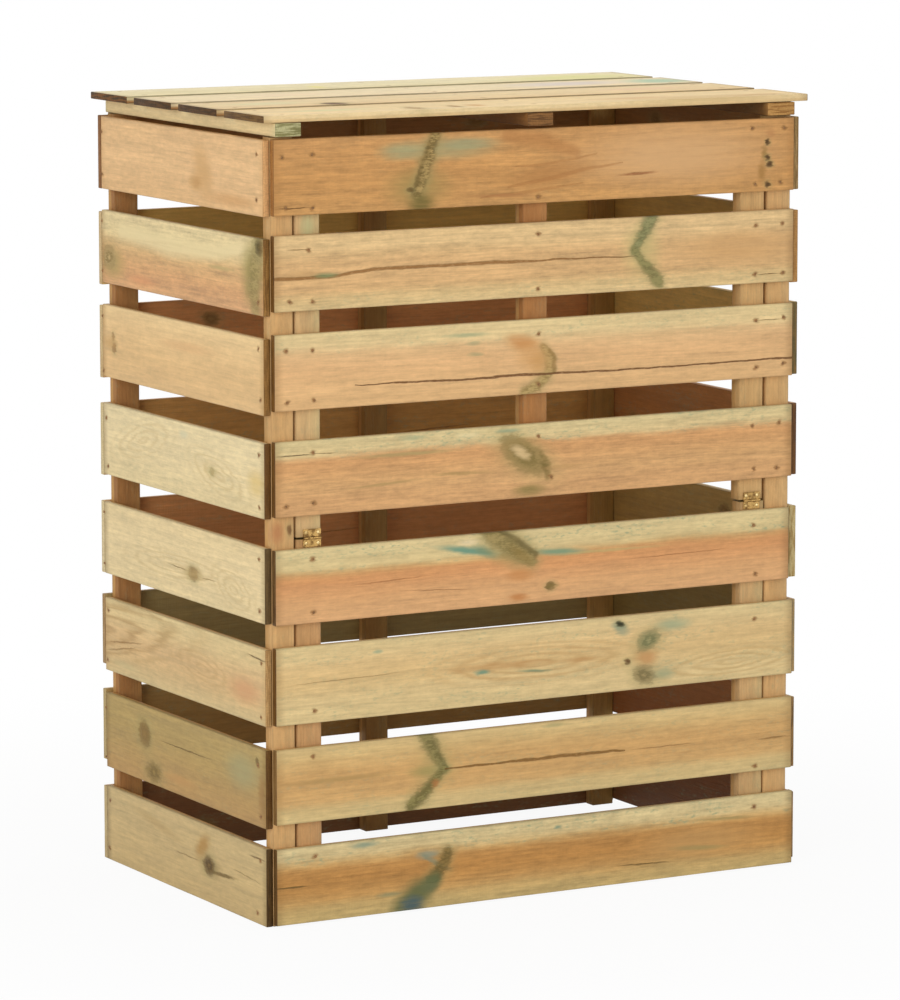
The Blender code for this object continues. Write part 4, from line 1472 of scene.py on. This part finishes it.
RIGHT_WALL = HiddenWall(
    "right_slat",
    battens=(-0.220, 0.214),
    # Inner tones: painted shade inside the bin, darkest on the lowest slat
    insides_with_shade=((150, 102, 50), (198, 160, 84), (224, 186, 104), (178, 118, 62), (172, 138, 74), (128, 110, 58),
             (156, 96, 50), (108, 64, 32)),
    ends=(
        ((176, 143, 92), (138, 108, 62)),
        ((190, 142, 82), (174, 126, 70)),
        ((132, 104, 58), (106, 94, 58)),
        ((112, 74, 36), (92, 62, 36)),
        ((200, 180, 128), (162, 132, 76)),
        ((184, 152, 100), (156, 138, 102)),
        ((160, 124, 76), (122, 94, 58)),
        ((178, 140, 92), (140, 110, 70)),
    ),
)
BACK_WALL = HiddenWall(
    "back_slat",
    battens=(-0.368, 0.004, 0.358),
    # Inner tones: painted shade inside the bin, darkest on the lowest slat
    insides_with_shade=((150, 102, 50), (208, 170, 90), (206, 138, 82), (196, 146, 78), (192, 128, 74), (150, 134, 84),
             (156, 120, 62), (112, 72, 38)),
    ends=(
        ((140, 98, 58), (120, 80, 46)),
        ((200, 174, 130), (188, 158, 112)),
        ((202, 178, 132), (190, 160, 114)),
        ((208, 190, 146), (196, 174, 128)),
        ((212, 194, 152), (200, 178, 134)),
        ((165, 135, 92), (150, 118, 78)),
        ((182, 160, 112), (170, 146, 100)),
        ((192, 172, 128), (180, 156, 112)),
    ),
)


def lid_finishes() -> dict[str, PineFinish]:
    """The looks of the lid slats, from the front one back.

    Returns:
        A finish for each node.
    """
    battens = (-0.365, -0.004, 0.359)
    sides = [(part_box(f"lid_slat_{number}")[0][1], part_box(f"lid_slat_{number}")[1][1]) for number in range(1, 5)]
    nails = [batten_nails(battens, low, high) for low, high in sides]
    # The strong edge darkening paints the shadow in the gaps between the lid slats, and the inner tone paints the
    # shade under the lid
    base = PineFinish(edge=0.42, end=(84, 56, 24), end_ring=(60, 40, 15), inner=(168, 120, 70), wander=0.05)
    first = replace(
        base,
        bands=((0.0, (230, 204, 155)), (0.25, (228, 200, 150)), (0.6, (228, 200, 148)), (1.0, (222, 194, 142))),
        edge=0.95,
        end=(112, 82, 42),
        end_ring=(84, 58, 24),
        inner=(214, 182, 130),
        marks=(
            knot(-0.172, -0.222, 0.020, 0.040, tint=(150, 110, 62), heart=(214, 184, 134), strength=0.9),
            knot(-0.112, -0.218, 0.015, 0.030, tint=(150, 108, 60), strength=0.8),
            stain(-0.080, -0.215, 0.036, 0.050, tint=(196, 146, 90), strength=0.8),
            stain(0.16, -0.205, 0.18, 0.040, tint=(206, 160, 110), strength=0.6),
            stain(-0.28, -0.20, 0.18, 0.050, tint=(208, 204, 152), strength=0.6),
            stain(0.250, -0.235, 0.42, 0.080, tint=(204, 174, 122), strength=0.8),
            stain(0.330, -0.230, 0.12, 0.030, tint=(190, 150, 100), strength=0.7),
        ),
        nails=nails[0],
    )
    second = replace(
        base,
        bands=((0.0, (220, 190, 140)), (0.5, (224, 198, 150)), (1.0, (220, 195, 148))),
        marks=(
            knot(-0.222, -0.100, 0.034, 0.034, tint=(80, 54, 24), heart=(112, 78, 40), strength=0.95),
            stain(0.26, -0.06, 0.20, 0.060, tint=(228, 186, 150), strength=0.6),
            stain(-0.30, -0.06, 0.16, 0.060, tint=(206, 204, 160), strength=0.6),
        ),
        nails=nails[1],
    )
    third = replace(
        base,
        bands=((0.0, (226, 204, 162)), (0.5, (232, 212, 170)), (1.0, (224, 204, 162))),
        marks=(
            stain(0.22, 0.07, 0.26, 0.100, tint=(210, 196, 184), strength=0.95),
            stain(0.36, 0.06, 0.14, 0.120, tint=(168, 190, 160), strength=1.0),
            stain(-0.20, 0.07, 0.20, 0.060, tint=(232, 204, 168), strength=0.6),
        ),
        nails=nails[2],
    )
    fourth = replace(
        base,
        bands=((0.0, (218, 202, 154)), (0.5, (228, 214, 172)), (1.0, (222, 208, 168))),
        end=(112, 72, 32),
        end_ring=(60, 44, 20),
        marks=(
            stain(-0.10, 0.18, 0.030, 0.060, tint=(222, 210, 120), strength=0.8),
            stain(0.290, 0.18, 0.30, 0.130, tint=(214, 208, 144), strength=0.95),
            stain(-0.30, 0.19, 0.20, 0.060, tint=(214, 198, 150), strength=0.7),
        ),
        nails=nails[3],
    )
    return {"lid_slat_1": first, "lid_slat_2": second, "lid_slat_3": third, "lid_slat_4": fourth}


def upright(top: Tint, foot: Tint, *marks: Mark, **more: object) -> PineFinish:
    """Makes up a post's or batten's look from the colours of its two long halves.

    Args:
        top: Colour of the half on the far side.
        foot: Colour of the half on the near side.
        *marks: Marks on its broad face.
        **more: Other fields of the finish.

    Returns:
        The finish.
    """
    settings = {"bands": ((0.0, foot), (0.5, foot), (1.0, top)), "lines": 260.0, "inner": (190, 146, 88)}
    return PineFinish(marks=marks, **(settings | more))


def post_finishes() -> dict[str, PineFinish]:
    """The looks of the posts and of the fixed wall's battens.

    Returns:
        A finish for each node.
    """
    return {
        "front_left_post": upright(
            (208, 168, 114),
            (200, 158, 104),
            stain(0.5030, -0.3770, 0.046, 0.026, tint=(178, 122, 78), strength=0.9),
            knot(0.5060, -0.3600, 0.014, 0.007, tint=(104, 66, 32)),
        ),
        "front_right_post": upright((208, 170, 118), (202, 160, 106)),
        "back_left_post": upright((176, 132, 78), (160, 112, 64)),
        "back_right_post": upright(
            (180, 146, 82), (168, 130, 72), stain(0.985, 0.360, 0.050, 0.060, tint=(226, 192, 124))
        ),
        "front_left_batten": upright(
            (206, 182, 130), (202, 166, 116), stain(0.885, -0.333, 0.06, 0.03, tint=(186, 182, 132))
        ),
        "front_middle_batten": upright((176, 126, 76), (164, 112, 62)),
        "front_right_batten": upright((206, 168, 114), (198, 158, 104)),
        "back_middle_batten": upright((168, 134, 78), (150, 112, 60)),
    }


@dataclass(frozen=True)
class Hinges:
    """The two hinges of the flap or of the lid, whose leaves are the CAD nodes themselves."""

    prefix: str
    axis: float
    face: float
    outward: float
    leaves: dict[str, tuple[str, float]]
    spread: float = 0.0085
    reach: float = 0.0068
    proud: float = 0.0002

    def build(self, brass: bpy.types.Material, screw_brass_and_highlight: bpy.types.Material) -> None:
        """Dresses the leaves and adds their screws.

        Args:
            brass: The leaves' material.
            screw_brass_and_highlight: The screws' material.
        """
        for name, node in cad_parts.items():
            if not name.startswith(self.prefix):
                continue
            node.data.materials.clear()
            node.data.materials.append(brass)
            body, up = next(found for ending, found in self.leaves.items() if name.endswith(ending))
            low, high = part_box(name)
            middle = (low[0] + high[0]) / 2
            height = self.axis + up * self.reach
            depth = self.face - self.outward * self.proud
            spots = tuple(Vector((middle + side * self.spread, depth, height)) for side in (-1, 1))
            HingeScrews(name, body, spots, self.outward).build(screw_brass_and_highlight)


FLAP_HINGES = Hinges(
    "door_hinge", 0.4937, -0.23865, -1.0, {"frame_leaf": ("carcass", 1.0), "door_leaf": ("flap", -1.0)}
)
LID_HINGES = Hinges(
    "lid_hinge", 0.9989, 0.24115, 1.0, {"body_leaf": ("carcass", -1.0), "lid_leaf": ("lid", 1.0)}
)


@dataclass(frozen=True)
class Softbox:
    """One square soft lamp, with the length of its sides in metres and its power in watts."""

    name: str
    place: Triple
    aim: Triple
    size: float
    power: float

    def build(self) -> None:
        """Hangs the lamp and turns it to its aim."""
        data = bpy.data.lights.new(self.name, "AREA")
        data.shape = "SQUARE"
        data.size = self.size
        data.energy = self.power
        lamp = bpy.data.objects.new(self.name, data)
        turn = (Vector(self.aim) - Vector(self.place)).to_track_quat("-Z", "Y").to_matrix().to_4x4()
        lamp.matrix_world = Matrix.Translation(self.place) @ turn
        bpy.context.scene.collection.objects.link(lamp)


@dataclass(frozen=True)
class Studio:
    """Floor, lamps, world and camera of the picture."""

    width: int = 900
    height: int = 1000
    focal_pixels: float = 5252.0
    centre_x: float = 462.5
    centre_y: float = 430.0
    place: Triple = (-3.34758, -6.02388, 1.51078)
    yaw: float = 29.2175
    pitch: float = -7.687
    roll: float = -0.022
    floor_reach: float = 30.0
    floor_drop: float = 0.0004
    lamps: tuple[Softbox, ...] = (
        Softbox("key_softbox", (-5.6, -4.2, 2.2), (0.0, 0.0, 0.4), 3.9, 268.0),
        Softbox("front_softbox", (1.6, -4.6, 1.2), (0.0, 0.0, 0.4), 2.4, 31.0),
        Softbox("top_softbox", (0.3, 0.4, 3.6), (0.0, 0.0, 1.0), 2.4, 42.0),
    )

    def build(self) -> None:
        """Makes the whole studio."""
        self._camera()
        self._floor()
        self._world()
        for lamp in self.lamps:
            lamp.build()
        bpy.context.scene.view_settings.view_transform = "Standard"

    def _camera(self) -> None:
        """Places the camera where the photograph was taken from."""
        data = bpy.data.cameras.new("photo_camera")
        data.sensor_fit = "HORIZONTAL"
        data.sensor_width = 36.0
        data.lens = self.focal_pixels / self.width * data.sensor_width
        data.shift_x = (self.width / 2 - self.centre_x) / self.width
        data.shift_y = (self.centre_y - self.height / 2) / self.width
        data.clip_end = 100.0
        camera = bpy.data.objects.new("photo_camera", data)
        tilt = Euler((math.radians(90.0 + self.pitch), 0.0, math.radians(-self.yaw)), "XYZ").to_matrix()
        spin = Matrix.Rotation(math.radians(self.roll), 3, "Z")
        camera.matrix_world = Matrix.Translation(self.place) @ (tilt @ spin).to_4x4()
        bpy.context.scene.collection.objects.link(camera)
        bpy.context.scene.camera = camera

    def _floor(self) -> None:
        """Lays a pale floor that looks white and keeps the bin's shadow."""
        bm = bmesh.new()
        bmesh.ops.create_grid(bm, x_segments=4, y_segments=4, size=self.floor_reach)
        bmesh.ops.translate(bm, vec=(0.0, 0.0, -self.floor_drop), verts=bm.verts)
        mesh = bpy.data.meshes.new("studio_floor")
        bm.to_mesh(mesh)
        bm.free()
        floor = bpy.data.objects.new("studio_floor", mesh)
        bpy.context.scene.collection.objects.link(floor)
        graph = Graph(bpy.data.materials.new("white_paper_floor"))
        paper = graph.add("ShaderNodeBsdfDiffuse", None, {"Color": (0.82, 0.82, 0.81, 1.0)})
        glow = graph.add("ShaderNodeEmission", None, {"Color": (1.0, 1.0, 1.0, 1.0), "Strength": 1.0})
        across, deep, _ = graph.split(graph.position())
        distance = (across * across + deep * deep) ** 0.5
        cover = graph.direct_view() * distance.ramp(0.5, 1.5, 0.93, 1.0)
        mixed = graph.add("ShaderNodeMixShader", None, {0: cover, 1: paper, 2: glow})
        graph.add("ShaderNodeOutputMaterial", None, {"Surface": mixed})
        mesh.materials.append(graph.owner)

    @staticmethod
    def _world() -> None:
        """Fills the room with a low even light and shows white to the camera."""
        world = bpy.data.worlds.new("studio_world")
        bpy.context.scene.world = world
        graph = Graph(world)
        dim = graph.add("ShaderNodeBackground", None, {"Color": (1.0, 0.99, 0.97, 1.0), "Strength": 0.45})
        white = graph.add("ShaderNodeBackground", None, {"Color": (1.0, 1.0, 1.0, 1.0), "Strength": 1.0})
        mixed = graph.add("ShaderNodeMixShader", None, {0: graph.direct_view(), 1: dim, 2: white})
        graph.add("ShaderNodeOutputWorld", None, {"Surface": mixed})


def walls() -> tuple[Wall, ...]:
    """The nailed walls and the lid.

    Returns:
        One wall for each side of the bin, the flap and the lid.
    """
    front, back = Lay(Axis.X, Axis.Z, Axis.Y, -1.0), Lay(Axis.X, Axis.Z, Axis.Y, 1.0)
    left, right = Lay(Axis.Y, Axis.Z, Axis.X, -1.0), Lay(Axis.Y, Axis.Z, Axis.X, 1.0)
    above = Lay(Axis.X, Axis.Y, Axis.Z, 1.0)
    return (
        Wall("front", "carcass", "front_pine", front, front_finishes(), level=-0.24715, seed=10.0),
        Wall("flap", "flap", "flap_pine", front, flap_finishes(), level=-0.24715, seed=40.0),
        Wall("left", "carcass", "side_pine", left, left_finishes(), level=-0.395, seed=80.0),
        Wall("right", "carcass", "side_pine", right, RIGHT_WALL.finishes(), level=0.3945, seed=150.0),
        Wall("back", "carcass", "back_pine", back, BACK_WALL.finishes(), level=0.23985, seed=200.0),
        Wall("lid", "lid", "lid_pine", above, lid_finishes(), level=1.0271, seed=260.0),
    )


def uprights() -> tuple[Wall, ...]:
    """The posts and battens behind the slats, whose own faces carry no nails.

    Returns:
        The posts with the fixed battens, the flap's battens and the lid's.
    """
    standing, crosswise = Lay(Axis.Z, Axis.X, Axis.Y, -1.0), Lay(Axis.Y, Axis.X, Axis.Z, 1.0)
    flap_looks = {
        "door_left_batten": upright((196, 152, 104), (190, 146, 96)),
        "door_right_batten": upright((204, 176, 124), (196, 158, 108)),
    }
    lid_looks = {
        # Pale near half and lower half: partly the batten's own tone and partly painted light on its outer side
        "lid_left_batten": upright(
            (214, 190, 140),
            (228, 204, 154), end=(178, 172, 126), end_ring=(128, 122, 76), inner=(222, 198, 148)
        ),
        # Dark colours that paint the shade under the lid
        "lid_middle_batten": upright(
            (136, 96, 54), (128, 88, 48), end=(134, 92, 48), end_ring=(92, 60, 28), inner=(120, 82, 44)
        ),
        # The dark near half and inner tone paint the shade under the lid
        "lid_right_batten": upright(
            (180, 132, 74), (112, 78, 40), end=(184, 138, 78), end_ring=(146, 102, 50), inner=(112, 78, 40)
        ),
    }
    return (
        Wall("posts", "carcass", "frame_pine", standing, post_finishes(), seed=300.0),
        Wall("flap_battens", "flap", "frame_pine", standing, flap_looks, seed=360.0),
        Wall("lid_battens", "lid", "lid_pine", crosswise, lid_looks, seed=380.0),
    )


def build_bin() -> None:
    """Builds every wall of the bin and its fasteners."""
    steel = NailFinish().material()
    brass = BrassFinish().material()
    # Pale brass for the screws, which paints the highlights on their heads
    screw_brass_and_highlight = BrassFinish((232, 208, 150), (184, 150, 90), "screw_brass_painted_highlight").material()
    for wall in walls():
        wall.build(steel)
    for frame_part in uprights():
        frame_part.build()
    for hinges in (FLAP_HINGES, LID_HINGES):
        hinges.build(brass, screw_brass_and_highlight)


def main() -> None:
    """Builds the bin, then the studio."""
    logging.basicConfig(level=logging.INFO, format="%(name)s: %(message)s")
    build_bin()
    Studio().build()


if __name__ == "__main__":
    main()
